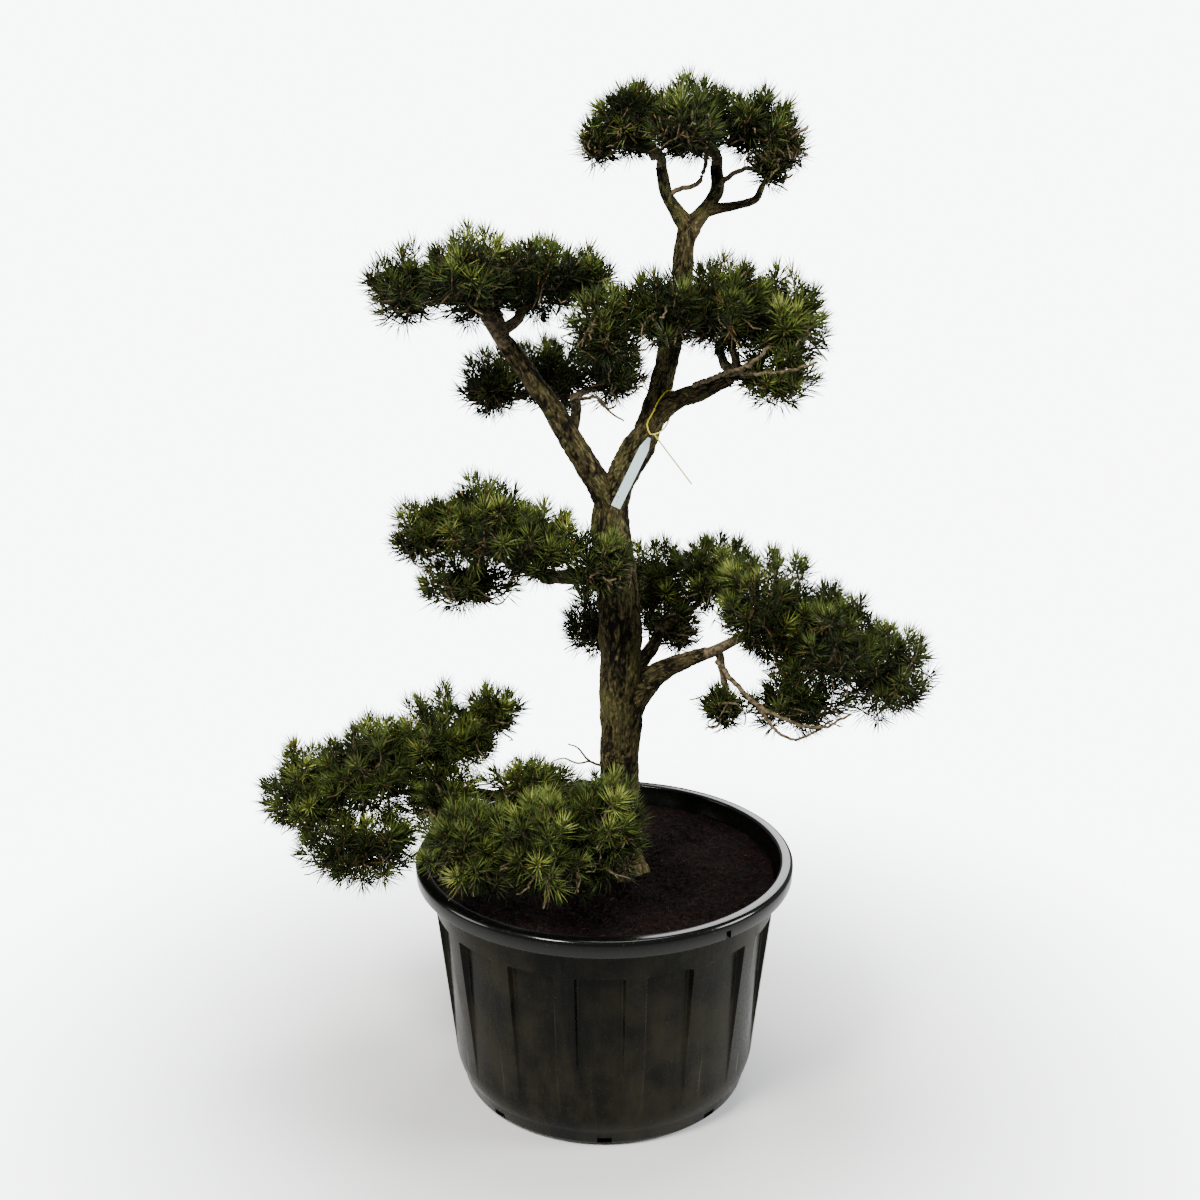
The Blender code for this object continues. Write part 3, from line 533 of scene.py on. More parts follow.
def on_soil(count, rng, lift):
    """Places scattered over the soil, a little above it."""
    radius = np.sqrt(rng.uniform(0.006, 1.0, count)) * (soil_radius - 0.006)
    angle = rng.uniform(0, math.tau, count)
    x, y = radius * np.cos(angle), radius * np.sin(angle)
    z = np.array([soil_height(a, b) for a, b in zip(x, y)]) + lift
    return np.stack([x, y, z], -1)


dice = np.random.default_rng(11)
chip_tones = [
    plain_material("chip_dark", (0.0030, 0.0014, 0.0010), 0.9),
    plain_material("chip_red", (0.0110, 0.0036, 0.0022), 0.9),
    plain_material("chip_brown", (0.0190, 0.0085, 0.0052), 0.9),
    plain_material("crumb_pale", (0.1100, 0.0820, 0.0520), 0.85),
]
sizes = dice.lognormal(-4.95, 0.42, CHIPS).clip(*CHIP_SIZES)
sizes = np.concatenate([sizes, dice.uniform(*CRUMB_SIZES, CRUMBS)])
points, faces = chips(on_soil(CHIPS + CRUMBS, dice, 0.0004), sizes, dice)
tones = np.concatenate([dice.choice(3, CHIPS, p=[0.58, 0.27, 0.15]), np.full(CRUMBS, 3)])
soil_chips = piece_from_arrays("soil_chips", points, faces, chip_tones, np.repeat(tones, 8))
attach(soil_chips, "root")


def tubes(lines, radii, sides):
    """Tubes of a few sides along lines (count, stations, 3), open at both ends."""
    count, stations, _ = lines.shape
    heading = np.gradient(lines, axis=1)
    first, second = across(unit(heading))
    angle = np.arange(sides) * math.tau / sides
    ring = first[:, :, None] * np.cos(angle)[:, None] + second[:, :, None] * np.sin(angle)[:, None]
    points = lines[:, :, None] + ring * radii[:, :, None, None]
    here = np.arange(count * stations).reshape(count, stations)[:, :-1, None] * sides
    k = np.arange(sides)
    a, b = here + k, here + (k + 1) % sides
    c, d = a + sides, b + sides
    faces = np.stack([np.stack([a, c, b], -1), np.stack([b, c, d], -1)], -2)
    return points.reshape(-1, 3), faces.reshape(-1, 3)


starts = on_soil(FIBRES, dice, 0.0012)
headings = dice.uniform(0, math.tau, FIBRES)[:, None]
headings = headings + np.cumsum(dice.normal(0, 0.45, (FIBRES, FIBRE_STEPS)), 1)
rises = dice.normal(0, 0.12, (FIBRES, FIBRE_STEPS))
steps = np.stack([np.cos(headings), np.sin(headings), rises], -1) * FIBRE_STEP
lines = starts[:, None] + np.concatenate([np.zeros((FIBRES, 1, 3)), np.cumsum(steps, 1)], 1)
inside = np.hypot(lines[..., 0], lines[..., 1]).max(1) < soil_radius - 0.002
radii = np.full((FIBRES, FIBRE_STEPS + 1), FIBRE_RADIUS)
points, faces = tubes(lines[inside], radii[inside], 3)
soil_fibres = piece_from_arrays("soil_fibres", points, faces, [chip_tones[2]])
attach(soil_fibres, "root")


# Trunk and boughs: living wood under rough flaking bark, which splits into upright plates. The trunk
# was bent while young, its boughs grow out of it at old branch collars, and a few thin branches have
# lost their needles.
TRUNK_ROUTE = (
    ((0.022, 0.000, SOIL_LEVEL - 0.004), 0.0400),
    ((0.024, 0.000, 0.480), 0.0360),
    ((0.027, 0.002, 0.600), 0.0345),
    ((0.030, 0.000, 0.720), 0.0370),
    ((0.028, 0.000, 0.860), 0.0380),
    ((0.022, 0.000, 0.970), 0.0355),
    ((0.010, 0.000, 1.080), 0.0330),
    ((0.022, 0.000, 1.135), 0.0285),
    ((0.054, 0.000, 1.200), 0.0245),
    ((0.086, 0.000, 1.270), 0.0235),
    ((0.106, 0.010, 1.350), 0.0195),
    ((0.126, 0.016, 1.450), 0.0175),
    ((0.133, 0.012, 1.530), 0.0165),
    ((0.137, 0.000, 1.590), 0.0160),
)
FLARE_HEIGHT = 0.055
FLARE_SPREAD = 0.42
FLARE_LOBES = 5
FLARE_RELIEF = 0.35
BOUGHS = {
    "bough_upper_left": (
        ((0.014, 0.000, 1.105), (-0.040, -0.010, 1.195), (-0.100, -0.030, 1.295), (-0.165, -0.055, 1.392)),
        (0.0230, 0.0150),
    ),
    "bough_upper_right": (
        ((0.085, 0.000, 1.268), (0.120, -0.020, 1.291), (0.160, -0.045, 1.309), (0.205, -0.065, 1.334)),
        (0.0185, 0.0125),
    ),
    "bough_upper_back": (
        ((-0.062, -0.015, 1.232), (-0.050, 0.030, 1.257), (-0.050, 0.080, 1.276)),
        (0.0110, 0.0080),
    ),
    "bough_mid_left": (
        ((0.018, 0.000, 0.972), (-0.040, -0.035, 0.985), (-0.092, -0.062, 0.994)),
        (0.0150, 0.0105),
    ),
    "bough_mid_right": (
        (
            (0.026, 0.000, 0.640), (0.048, -0.002, 0.728), (0.092, -0.020, 0.800),
            (0.140, -0.045, 0.833), (0.180, -0.055, 0.852),
        ),
        (0.0270, 0.0110),
    ),
    "bough_mid_right_back": (
        ((0.034, 0.000, 0.778), (0.080, 0.035, 0.822), (0.100, 0.070, 0.850)),
        (0.0150, 0.0100),
    ),
    "bough_lower_left": (
        ((0.024, 0.000, 0.520), (-0.080, 0.020, 0.540), (-0.180, 0.030, 0.543), (-0.275, 0.030, 0.556)),
        (0.0150, 0.0090),
    ),
    "bough_lower_front": (
        ((0.024, 0.000, 0.488), (-0.015, -0.060, 0.503), (-0.050, -0.115, 0.515)),
        (0.0140, 0.0090),
    ),
    "bough_top_left": (
        ((0.136, 0.000, 1.578), (0.119, 0.000, 1.603), (0.102, -0.008, 1.632), (0.092, -0.012, 1.674)),
        (0.0120, 0.0090),
    ),
    "bough_top_middle": (
        ((0.137, 0.000, 1.574), (0.162, 0.002, 1.600), (0.186, 0.008, 1.634), (0.184, 0.010, 1.676)),
        (0.0130, 0.0100),
    ),
    "bough_top_right": (
        ((0.168, 0.003, 1.605), (0.215, -0.015, 1.612), (0.246, -0.028, 1.622), (0.256, -0.030, 1.642)),
        (0.0080, 0.0050),
    ),
}
BURRS = (
    ((0.152, -0.006, 1.571), 0.014, 0.010),
    ((0.062, -0.024, 0.735), 0.018, 0.006),
    ((-0.008, -0.018, 1.020), 0.016, 0.006),
    ((0.004, -0.030, 0.905), 0.015, 0.005),
    ((0.060, -0.020, 0.610), 0.014, 0.004),
)
BARE_BRANCHES = {
    "crotch_hook": (
        ((-0.050, 0.078, 1.278), (-0.014, 0.060, 1.285), (0.011, 0.050, 1.261), (0.034, 0.040, 1.247)),
        (0.0034, 0.0016),
    ),
    "crotch_curl": (
        (
            (-0.012, 0.058, 1.283), (0.000, 0.052, 1.270), (0.014, 0.050, 1.268),
            (0.022, 0.050, 1.280), (0.014, 0.050, 1.294), (0.004, 0.050, 1.288),
        ),
        (0.0024, 0.0012),
    ),
    "top_link": (
        (
            (0.104, -0.008, 1.626), (0.122, -0.012, 1.640), (0.142, -0.012, 1.642),
            (0.157, -0.008, 1.653), (0.165, -0.002, 1.675), (0.168, 0.000, 1.705),
        ),
        (0.0046, 0.0034),
    ),
    "top_spur": (
        (
            (0.184, 0.006, 1.640), (0.212, -0.012, 1.664), (0.235, -0.022, 1.673),
            (0.259, -0.032, 1.660), (0.284, -0.044, 1.652), (0.304, -0.050, 1.662),
        ),
        (0.0052, 0.0018),
    ),
    "top_spur_side": (
        ((0.250, -0.028, 1.666), (0.266, -0.044, 1.650), (0.284, -0.050, 1.644), (0.296, -0.054, 1.636)),
        (0.0026, 0.0012),
    ),
    "left_spur": (
        ((-0.004, -0.010, 0.622), (-0.030, -0.018, 0.636), (-0.046, -0.024, 0.660), (-0.066, -0.030, 0.672)),
        (0.0028, 0.0014),
    ),
    "left_spur_side": (
        ((-0.026, -0.016, 0.633), (-0.050, -0.024, 0.632), (-0.074, -0.020, 0.640), (-0.092, -0.022, 0.636)),
        (0.0022, 0.0012),
    ),
    "under_upper_right": (
        ((0.150, -0.056, 1.322), (0.190, -0.100, 1.345), (0.230, -0.150, 1.366), (0.262, -0.180, 1.400)),
        (0.0052, 0.0024),
    ),
    "across_upper_right": (
        ((0.196, -0.080, 1.345), (0.240, -0.140, 1.352), (0.290, -0.160, 1.358), (0.340, -0.160, 1.372)),
        (0.0048, 0.0020),
    ),
    "under_mid_right": (
        (
            (0.196, -0.066, 0.842), (0.250, -0.120, 0.790), (0.310, -0.150, 0.762),
            (0.370, -0.160, 0.752), (0.420, -0.150, 0.772),
        ),
        (0.0052, 0.0022),
    ),
    "loop_mid_right": (
        (
            (0.262, -0.126, 0.782), (0.288, -0.155, 0.752), (0.322, -0.165, 0.732),
            (0.356, -0.160, 0.742), (0.392, -0.150, 0.762),
        ),
        (0.0036, 0.0018),
    ),
}
BARK_SEED = 5
BARK_STEP = 0.0036
TRUNK_SIDES = 88
BOUGH_SIDES = 36
THIN_BOUGH = 0.012
THIN_BOUGH_SIDES = 24
PLATE_WIDTH = 0.0105
PLATE_LENGTH = 0.034
PLATE_HEIGHT = 0.0034
SCALE_HEIGHT = 0.0011
BURR_HEIGHT = 0.0062
FULL_GIRTH = 0.030
PLATE_WARP = 0.9
PLATE_FRET = 0.25
CRACK_EDGE = 0.5
BURR_SCALE = 26.0
COLLAR_LENGTH = 0.030
COLLAR_SWELL = 0.35
BURR_FADE = 3.0
BARE_STEP = 0.006
BARE_JITTER = 0.22
BARE_SIDES = 7


def smooth_route(points, spacing):
    """Places about one spacing apart on a smooth curve through the points, and how far along each is."""
    places = [Vector(point) for point in points]
    ends = [places[0] * 2 - places[1], *places, places[-1] * 2 - places[-2]]
    route = [places[0]]
    stations = [0.0]
    for i in range(len(places) - 1):
        before, start, end, after = ends[i : i + 4]
        steps = max(1, round((end - start).length / spacing))
        for step in range(1, steps + 1):
            t = step / steps
            route.append(
                0.5
                * (
                    2 * start
                    + (end - before) * t
                    + (2 * before - 5 * start + 4 * end - after) * t**2
                    + (3 * start - before - 3 * end + after) * t**3
                )
            )
            stations.append(i + t)
    return route, stations


def bark_relief(grain, radius):
    """How far the bark stands out at a place given as across, across and along the limb, and how deep in a
    crack it lies, which darkens the bark's colour as painted shade.
    """
    size = min(1.0, radius / FULL_GIRTH)
    plates = Vector((grain.x / PLATE_WIDTH, grain.y / PLATE_WIDTH, grain.z / PLATE_LENGTH))
    plates = plates / (0.45 + 0.55 * size)
    warp = noise.noise_vector(plates * 0.55) * PLATE_WARP + noise.noise_vector(plates * 1.9) * PLATE_FRET
    near = noise.voronoi(plates + warp)[0]
    split = 0.5 + 0.9 * noise.noise(plates * 0.45)
    crack = (1.0 - smooth_step((near[1] - near[0]) / CRACK_EDGE)) * max(0.0, min(1.0, split))
    scales = noise.fractal(plates * 2.4, 0.7, 2.2, 3)
    burrs = noise.fractal(Vector((grain.x, grain.y, grain.z * 0.6)) * BURR_SCALE, 1.0, 2.0, 2)
    lift = size * ((0.4 - crack) * PLATE_HEIGHT + scales * SCALE_HEIGHT)
    lift = lift + min(size, 0.8) * burrs * BURR_HEIGHT
    return lift, crack - 0.5 * scales


def barked_limb(name, route, radii, sides):
    """A limb grown ring by ring along its route, each ring a turned circle with the bark's relief."""
    shape = bmesh.new()
    layer = shape.verts.layers.float_vector.new("grain")
    crack_shade = shape.verts.layers.float.new("crack_shade")
    ring = bmesh.ops.create_circle(shape, segments=sides, radius=1.0)["verts"]
    edges = list(shape.edges)
    around = [math.atan2(vertex.co.y, vertex.co.x) for vertex in ring]
    heading = Vector((0, 0, 1))
    turn = Matrix.Identity(3)
    travelled = 0.0
    for i, (place, radius) in enumerate(zip(route, radii)):
        if i:
            travelled += (place - route[i - 1]).length
            grown = bmesh.ops.extrude_edge_only(shape, edges=edges)["geom"]
            edges = [item for item in grown if isinstance(item, bmesh.types.BMEdge) and item.is_boundary]
            edges = [edge for edge in edges if edge not in before]
            follower = {}
            for vertex in (item for item in grown if isinstance(item, bmesh.types.BMVert)):
                for edge in vertex.link_edges:
                    other = edge.other_vert(vertex)
                    if other in ring_set:
                        follower[other] = vertex
            ring = [follower[vertex] for vertex in ring]
        new_heading = (route[min(i + 1, len(route) - 1)] - route[max(i - 1, 0)]).normalized()
        turn = heading.rotation_difference(new_heading).to_matrix() @ turn
        heading = new_heading
        for vertex, angle in zip(ring, around):
            out = Vector((math.cos(angle), math.sin(angle), 0.0))
            grain = Vector((out.x * radius, out.y * radius, travelled))
            lift, crack = bark_relief(grain, radius)
            vertex[layer] = grain
            # The crack value is kept on the points for painted shade in the bark's cracks.
            vertex[crack_shade] = crack
            vertex.co = place + turn @ out * (radius + lift)
        before = set(edges)
        ring_set = set(ring)
    bmesh.ops.contextual_create(shape, geom=edges)
    bmesh.ops.recalc_face_normals(shape, faces=shape.faces)
    limb = object_from(shape, name)
    limb.data.shade_smooth()
    return limb


def joined(groups):
    """One array of points and one of triangles from several."""
    offset = 0
    all_points, all_faces = [], []
    for points, faces in groups:
        all_points.append(points)
        all_faces.append(faces + offset)
        offset += len(points)
    return np.concatenate(all_points), np.concatenate(all_faces)


bark = Finish("bark", 0.9)
bark.shader.inputs["Specular IOR Level"].default_value = 0.15
grain = bark.place((1.0, 1.0, 0.30), "grain")
place = bark.place()
crack_shade = bark.nodes.new("ShaderNodeAttribute")
crack_shade.attribute_name = "crack_shade"
flakes = bark.mottle(grain, scale=230.0, low=0.44, high=0.62)
streaks = bark.mottle(grain, scale=420.0, low=0.42, high=0.60)
worn = bark.mottle(grain, scale=60.0, low=0.40, high=0.62)
lichen = bark.mottle(place, scale=21.0, low=0.46, high=0.64)
tone = bark.mix(worn, (0.026, 0.019, 0.0070), (0.078, 0.060, 0.022))
tone = bark.mix(flakes, tone, (0.175, 0.140, 0.058))
tone = bark.mix(bark.combine("MULTIPLY", lichen, 0.55), tone, (0.095, 0.100, 0.026))
# Painted shade: the bark's colour is darkened in its cracks, from the value kept on the points, and also
# along fine dark streaks of its grain.
crack_shade_and_streaks = bark.span(crack_shade.outputs["Fac"], (0.12, 0.80), (0.0, 1.0))
crack_shade_and_streaks = bark.combine("ADD", crack_shade_and_streaks, bark.combine("MULTIPLY", streaks, 0.45))
tone = bark.mix(crack_shade_and_streaks, tone, (0.0050, 0.0034, 0.0016))
bark.colour(tone)
lift = bark.combine("SUBTRACT", bark.combine("ADD", flakes, worn), crack_shade_and_streaks)
bark.bump(lift, 0.0016, 0.9)


def thinned(items, step):
    """One item in so many, and the last one."""
    return items[:-1:step] + [items[-1]]


# The noise's vectors are shifted at random until they are seeded.
noise.seed_set(BARK_SEED)
limb_lines = {}
route, stations = smooth_route([point for point, _ in TRUNK_ROUTE], BARK_STEP)
girths = [radius for _, radius in TRUNK_ROUTE]
radii = list(np.interp(stations, range(len(girths)), girths))
trunk = barked_limb("trunk_bark", route, radii, TRUNK_SIDES)
foot = route[0]
for vertex in trunk.data.vertices:
    for middle, size, lift in BURRS:
        away = (vertex.co - Vector(middle)).length / size
        if away < BURR_FADE:
            core = min(route, key=lambda heart: abs(heart.z - vertex.co.z))
            vertex.co += (vertex.co - core).normalized() * lift * math.exp(-(away**2))
    height = max(0.0, vertex.co.z - foot.z)
    if height < 4 * FLARE_HEIGHT:
        out = Vector((vertex.co.x - foot.x, vertex.co.y - foot.y))
        buttress = 1.0 + FLARE_RELIEF * math.cos(FLARE_LOBES * math.atan2(out.y, out.x))
        spread = FLARE_SPREAD * buttress * math.exp(-height / FLARE_HEIGHT)
        vertex.co.x += out.x * spread
        vertex.co.y += out.y * spread
trunk.data.materials.append(bark.material)
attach(trunk, "root")
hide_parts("trunk")
limb_lines["trunk"] = (thinned(route, 10), thinned(radii, 10))

for name, (points, (first, last)) in BOUGHS.items():
    route, stations = smooth_route(points, BARK_STEP)
    radii = []
    for place, station in zip(route, stations):
        swell = COLLAR_SWELL * math.exp(-(((place - route[0]).length / COLLAR_LENGTH) ** 2))
        radii.append((first + (last - first) * station / stations[-1]) * (1.0 + swell))
    sides = THIN_BOUGH_SIDES if first < THIN_BOUGH else BOUGH_SIDES
    bough = barked_limb(name + "_bark", route, radii, sides)
    bough.data.materials.append(bark.material)
    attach(bough, "root")
    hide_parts(name)
    limb_lines[name] = (thinned(route, 6), thinned(radii, 6))

twig_bark = Finish("twig_bark", 0.85)
rings = twig_bark.mottle(twig_bark.place(), scale=160.0, low=0.38, high=0.62)
twig_bark.shader.inputs["Specular IOR Level"].default_value = 0.15
twig_bark.colour(twig_bark.mix(rings, (0.046, 0.034, 0.018), (0.175, 0.134, 0.078)))
wood = []
for points, (first, last) in BARE_BRANCHES.values():
    route, _ = smooth_route(points, BARE_STEP)
    line = np.array([tuple(place) for place in route])[None]
    line[:, 1:-1] += dice.normal(0, first * BARE_JITTER, (1, len(route) - 2, 3))
    wood.append(tubes(line, np.linspace(first, last, len(route))[None], BARE_SIDES))
points, faces = joined(wood)
bare_branches = piece_from_arrays("bare_branches", points, faces, [twig_bark.material], None, True)
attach(bare_branches, "root")


# Foliage: each pad is a row of rounded lobes, clipped to cloud shapes, given by their middles and half
# sizes. From the bough's end stems run to the lobes' hubs and thin branchlets into them. Needled shoots
# turn up at the ends, dense on top, sparser inside and underneath, where bare twigs show.
PADS = {
    "top_left": (
        (0.040, -0.020, 1.757, 0.070, 0.100, 0.074),
        (-0.008, 0.010, 1.726, 0.042, 0.070, 0.050),
        (0.045, 0.080, 1.745, 0.060, 0.065, 0.060),
    ),
    "top_middle": (
        (0.140, 0.000, 1.762, 0.086, 0.120, 0.078),
        (0.125, -0.090, 1.745, 0.070, 0.070, 0.068),
        (0.150, 0.110, 1.740, 0.080, 0.070, 0.060),
    ),
    "top_right": (
        (0.243, 0.000, 1.750, 0.078, 0.110, 0.070),
        (0.288, -0.030, 1.718, 0.042, 0.080, 0.055),
        (0.265, -0.040, 1.688, 0.042, 0.050, 0.034),
    ),
    "upper_left": (
        (-0.330, -0.050, 1.490, 0.072, 0.100, 0.082),
        (-0.220, -0.070, 1.506, 0.090, 0.130, 0.096),
        (-0.110, -0.030, 1.503, 0.090, 0.130, 0.086),
        (-0.026, 0.020, 1.503, 0.050, 0.090, 0.062),
        (-0.200, 0.080, 1.485, 0.110, 0.090, 0.072),
    ),
    "upper_right": (
        (-0.002, -0.140, 1.434, 0.074, 0.080, 0.080),
        (0.086, -0.130, 1.459, 0.086, 0.110, 0.080),
        (0.192, -0.090, 1.460, 0.096, 0.130, 0.092),
        (0.295, -0.060, 1.427, 0.088, 0.120, 0.105),
        (0.279, -0.100, 1.352, 0.084, 0.070, 0.060),
        (0.220, 0.060, 1.440, 0.100, 0.090, 0.072),
    ),
    "upper_back": (
        (-0.202, 0.160, 1.302, 0.072, 0.090, 0.078),
        (-0.098, 0.190, 1.316, 0.098, 0.110, 0.088),
        (0.015, 0.160, 1.326, 0.082, 0.090, 0.074),
    ),
    "mid_left": (
        (-0.300, -0.070, 1.081, 0.079, 0.100, 0.077),
        (-0.210, -0.090, 1.099, 0.095, 0.130, 0.092),
        (-0.108, -0.110, 1.066, 0.092, 0.110, 0.086),
        (-0.007, -0.130, 1.036, 0.075, 0.070, 0.070),
        (-0.235, -0.060, 0.995, 0.104, 0.080, 0.062),
        (-0.200, 0.050, 1.060, 0.105, 0.090, 0.070),
    ),
    "mid_right_back": (
        (-0.010, 0.190, 0.840, 0.082, 0.090, 0.084),
        (0.100, 0.180, 0.921, 0.100, 0.120, 0.096),
        (0.205, 0.140, 0.946, 0.096, 0.120, 0.095),
        (0.130, 0.110, 0.862, 0.066, 0.055, 0.062),
    ),
    "mid_right": (
        (0.286, -0.020, 0.930, 0.102, 0.130, 0.118),
        (0.380, -0.050, 0.874, 0.114, 0.150, 0.120),
        (0.490, -0.050, 0.823, 0.104, 0.130, 0.108),
        (0.342, -0.080, 0.782, 0.105, 0.090, 0.074),
        (0.205, -0.090, 0.775, 0.052, 0.060, 0.048),
        (0.380, 0.080, 0.860, 0.110, 0.090, 0.090),
    ),
    "lower_left": (
        (-0.540, 0.000, 0.570, 0.105, 0.120, 0.110),
        (-0.425, -0.020, 0.621, 0.108, 0.130, 0.118),
        (-0.309, 0.030, 0.660, 0.102, 0.120, 0.108),
        (-0.206, 0.050, 0.712, 0.062, 0.080, 0.068),
        (-0.440, -0.090, 0.506, 0.128, 0.110, 0.080),
        (-0.400, 0.120, 0.590, 0.110, 0.090, 0.090),
        (-0.290, -0.050, 0.575, 0.086, 0.090, 0.084),
        (-0.247, 0.020, 0.668, 0.070, 0.080, 0.064),
    ),
    "lower_front": (
        (-0.225, -0.200, 0.550, 0.102, 0.110, 0.100),
        (-0.103, -0.230, 0.570, 0.104, 0.120, 0.104),
        (0.000, -0.190, 0.594, 0.078, 0.100, 0.104),
        (-0.127, -0.070, 0.618, 0.100, 0.080, 0.060),
        (-0.012, -0.175, 0.540, 0.090, 0.080, 0.080),
    ),
}
HUB_DROP = 0.30
STEM_LEAD = 0.020
STEM_SINK = 0.004
STEM_TAPER = 0.62
LEVEL_COST = 0.02
LINK_SAG = 0.010
LINK_RADII = (0.0034, 0.0026)
BRANCHLETS = 11
BRANCHLET_REACH = (0.42, 0.62)
BRANCHLET_SAG = 0.008
BRANCHLET_RADII = (0.0046, 0.0024)
TWIG_RADII = (0.0024, 0.0023, 0.0021, 0.0020, 0.0019, 0.0016, 0.0012)
BARE_TWIGS = 26
BARE_TWIG_REACH = (0.70, 1.02)
BARE_TWIG_RADII = (0.0029, 0.0011)
BUD_LENGTH = 0.012
BUD_RADIUS = 0.0022
BUD_WAIST = 0.4
GOLDEN_ANGLE = math.pi * (3.0 - math.sqrt(5.0))
CROWN_EDGE = -0.14
LOWEST_DIRECTION = -0.92
SHOOT_AREA = 0.00160
INNER_SHOOT_AREA = 0.0034
UNDER_SHOOT_AREA = 0.0044
OUTER_REACH = (0.88, 1.04)
UNDER_REACH = (0.70, 1.00)
INNER_REACH = (0.45, 0.80)
HIDDEN_DEPTH = 0.56
RAGGED = 0.24
RAGGED_SCALE = 15.0
RAY_SCATTER = 0.13
HEADING_SCATTER = 0.16
UPTURN = 0.42
SHOOT_LENGTH = (0.020, 0.042)
BUNDLES = 22
CROWDING = 0.75
TURN_SCATTER = 0.25
LEAN_AT_FOOT = math.radians(84)
LEAN_AT_TIP = math.radians(12)
LEAN_CURVE = 1.3
LEAN_SCATTER = 0.13
SPLAY = 0.14
NEEDLE_OVERHANG = 0.032
NEEDLE_LENGTH = 0.043
NEEDLE_LENGTHS = (0.80, 1.08)
SHORTER_AT_TIP = 0.18
NEEDLE_RADIUS = 0.00100
NEEDLE_WAIST = 0.42
# Painted light and shade: shoots high in a lobe and out at its edge get lighter needle tones, those deep
# inside and underneath darker ones.
SUN_ON_TOP = 0.40
SUN_OUTSIDE = 1.6
SUN_AVERAGE = 0.45
SUN_SCATTER = 0.34
TONES_PER_SUN = 2.5
TONE_SCATTER = 0.40
LIGHTEST = 4
DRY = 5
DRY_SHARE = 0.05
TUFT_TONES = {"lower_front": 0.16, "lower_left": 0.14, "mid_left": 0.12}
REACH_SHARE = 0.03
REACH_EXTRA = 0.008
CLEAR_OF_TUB = 0.002
CLEAR_OF_SOIL = 0.008
LIP_MIDDLE = 0.337
LIP_HALF = 0.017

# Needle tones from deep to brightest are lit and shaded copies of one green. They are dealt out as painted
# light and shade by where each shoot sits in its pad, lighter towards each shoot's tip where the needles are
# young. The last tone is dry brown.
needle_tones = [
    plain_material("needles_deep", (0.0050, 0.0085, 0.0022), 0.55, 0.10),
    plain_material("needles_dark", (0.0150, 0.0230, 0.0052), 0.50, 0.14),
    plain_material("needles_green", (0.0420, 0.0620, 0.0110), 0.46, 0.18),
    plain_material("needles_fresh_and_sunlit", (0.1100, 0.1480, 0.0250), 0.42, 0.25),
    plain_material("needles_tip_and_sunlit", (0.3200, 0.3700, 0.0760), 0.42, 0.30),
    plain_material("needles_dry", (0.1500, 0.0900, 0.0320), 0.60, 0.15),
]
bud_brown = plain_material("bud_brown", (0.150, 0.075, 0.026), 0.6)

segment_starts = []
segment_ends = []
segment_radii = []
for route, radii in limb_lines.values():
    segment_starts += [tuple(place) for place in route[:-1]]
    segment_ends += [tuple(place) for place in route[1:]]
    segment_radii += radii[:-1]
segment_starts, segment_ends = np.array(segment_starts), np.array(segment_ends)
limit = (np.array(cad_high) - np.array(cad_low)) * REACH_SHARE + REACH_EXTRA
low_limit, high_limit = np.array(cad_low) - limit, np.array(cad_high) + limit


def free_of_tree(places, margin):
    """Which places lie off the limbs, the soil and the tub's lip, and inside the whole object's reach."""
    free = np.ones(len(places), bool)
    for start, end, radius in zip(segment_starts, segment_ends, segment_radii):
        run = end - start
        share = ((places - start) @ run / (run @ run)).clip(0, 1)
        free &= np.linalg.norm(places - start - share[:, None] * run, axis=1) > radius + margin
    across_tub = np.hypot(places[:, 0], places[:, 1])
    free &= ~((across_tub < RIM_RADIUS + CLEAR_OF_TUB) & (places[:, 2] < SOIL_LEVEL + CLEAR_OF_SOIL))
    free &= ~((abs(across_tub - LIP_MIDDLE) < LIP_HALF) & (places[:, 2] < POT_HEIGHT + CLEAR_OF_TUB))
    return free & (places > low_limit).all(1) & (places < high_limit).all(1)


def depth_in(places, lobe):
    """0 at a lobe's centre, 1 on its outline, more outside it."""
    return np.linalg.norm((places - np.array(lobe[:3])) / np.array(lobe[3:]), axis=-1)


def spiral(count, highest, lowest, phase):
    """Directions dealt evenly from the highest rise down to the lowest one, by the golden angle."""
    i = np.arange(count)
    up = highest - (highest - lowest) * (i + 0.5) / count
    turn = GOLDEN_ANGLE * i + phase
    side = np.sqrt(1.0 - up**2)
    return np.stack([side * np.cos(turn), side * np.sin(turn), up], -1)


def bowed(starts, ends, bows, stations):
    """Lines from starts to ends that bow out by the given vectors in their middle."""
    t = np.linspace(0, 1, stations)[None, :, None]
    return starts[:, None] * (1 - t) + ends[:, None] * t + bows[:, None] * 4 * t * (1 - t)


def linked_hubs(root, lobes):
    """Each lobe's hub, linked to the nearest place reached so far: (start, end, how many links before)."""
    hubs = [Vector((x, y, z - HUB_DROP * high)) for x, y, z, _, _, high in lobes]
    reached = [(root, 0)]
    links = []
    waiting = list(range(len(hubs)))
    while waiting:
        _, i, k = min(
            ((hubs[i] - place).length + LEVEL_COST * level, i, k)
            for i in waiting
            for k, (place, level) in enumerate(reached)
        )
        place, level = reached[k]
        links.append((place, hubs[i], level))
        reached.append((hubs[i], level + 1))
        waiting.remove(i)
    return links, hubs


def lobe_area(half):
    """The surface of an ellipsoid, by a mean of its three sections with a power that fits it closely."""
    a, b, c = half
    power = 1.6
    return 4 * math.pi * (((a * b) ** power + (a * c) ** power + (b * c) ** power) / 3) ** (1 / power)


def ragged_reach(places):
    """A share by which a lobe's outline swells and shrinks from place to place."""
    return np.array([1.0 + RAGGED * noise.noise(Vector(place) * RAGGED_SCALE) for place in places])[:, None]


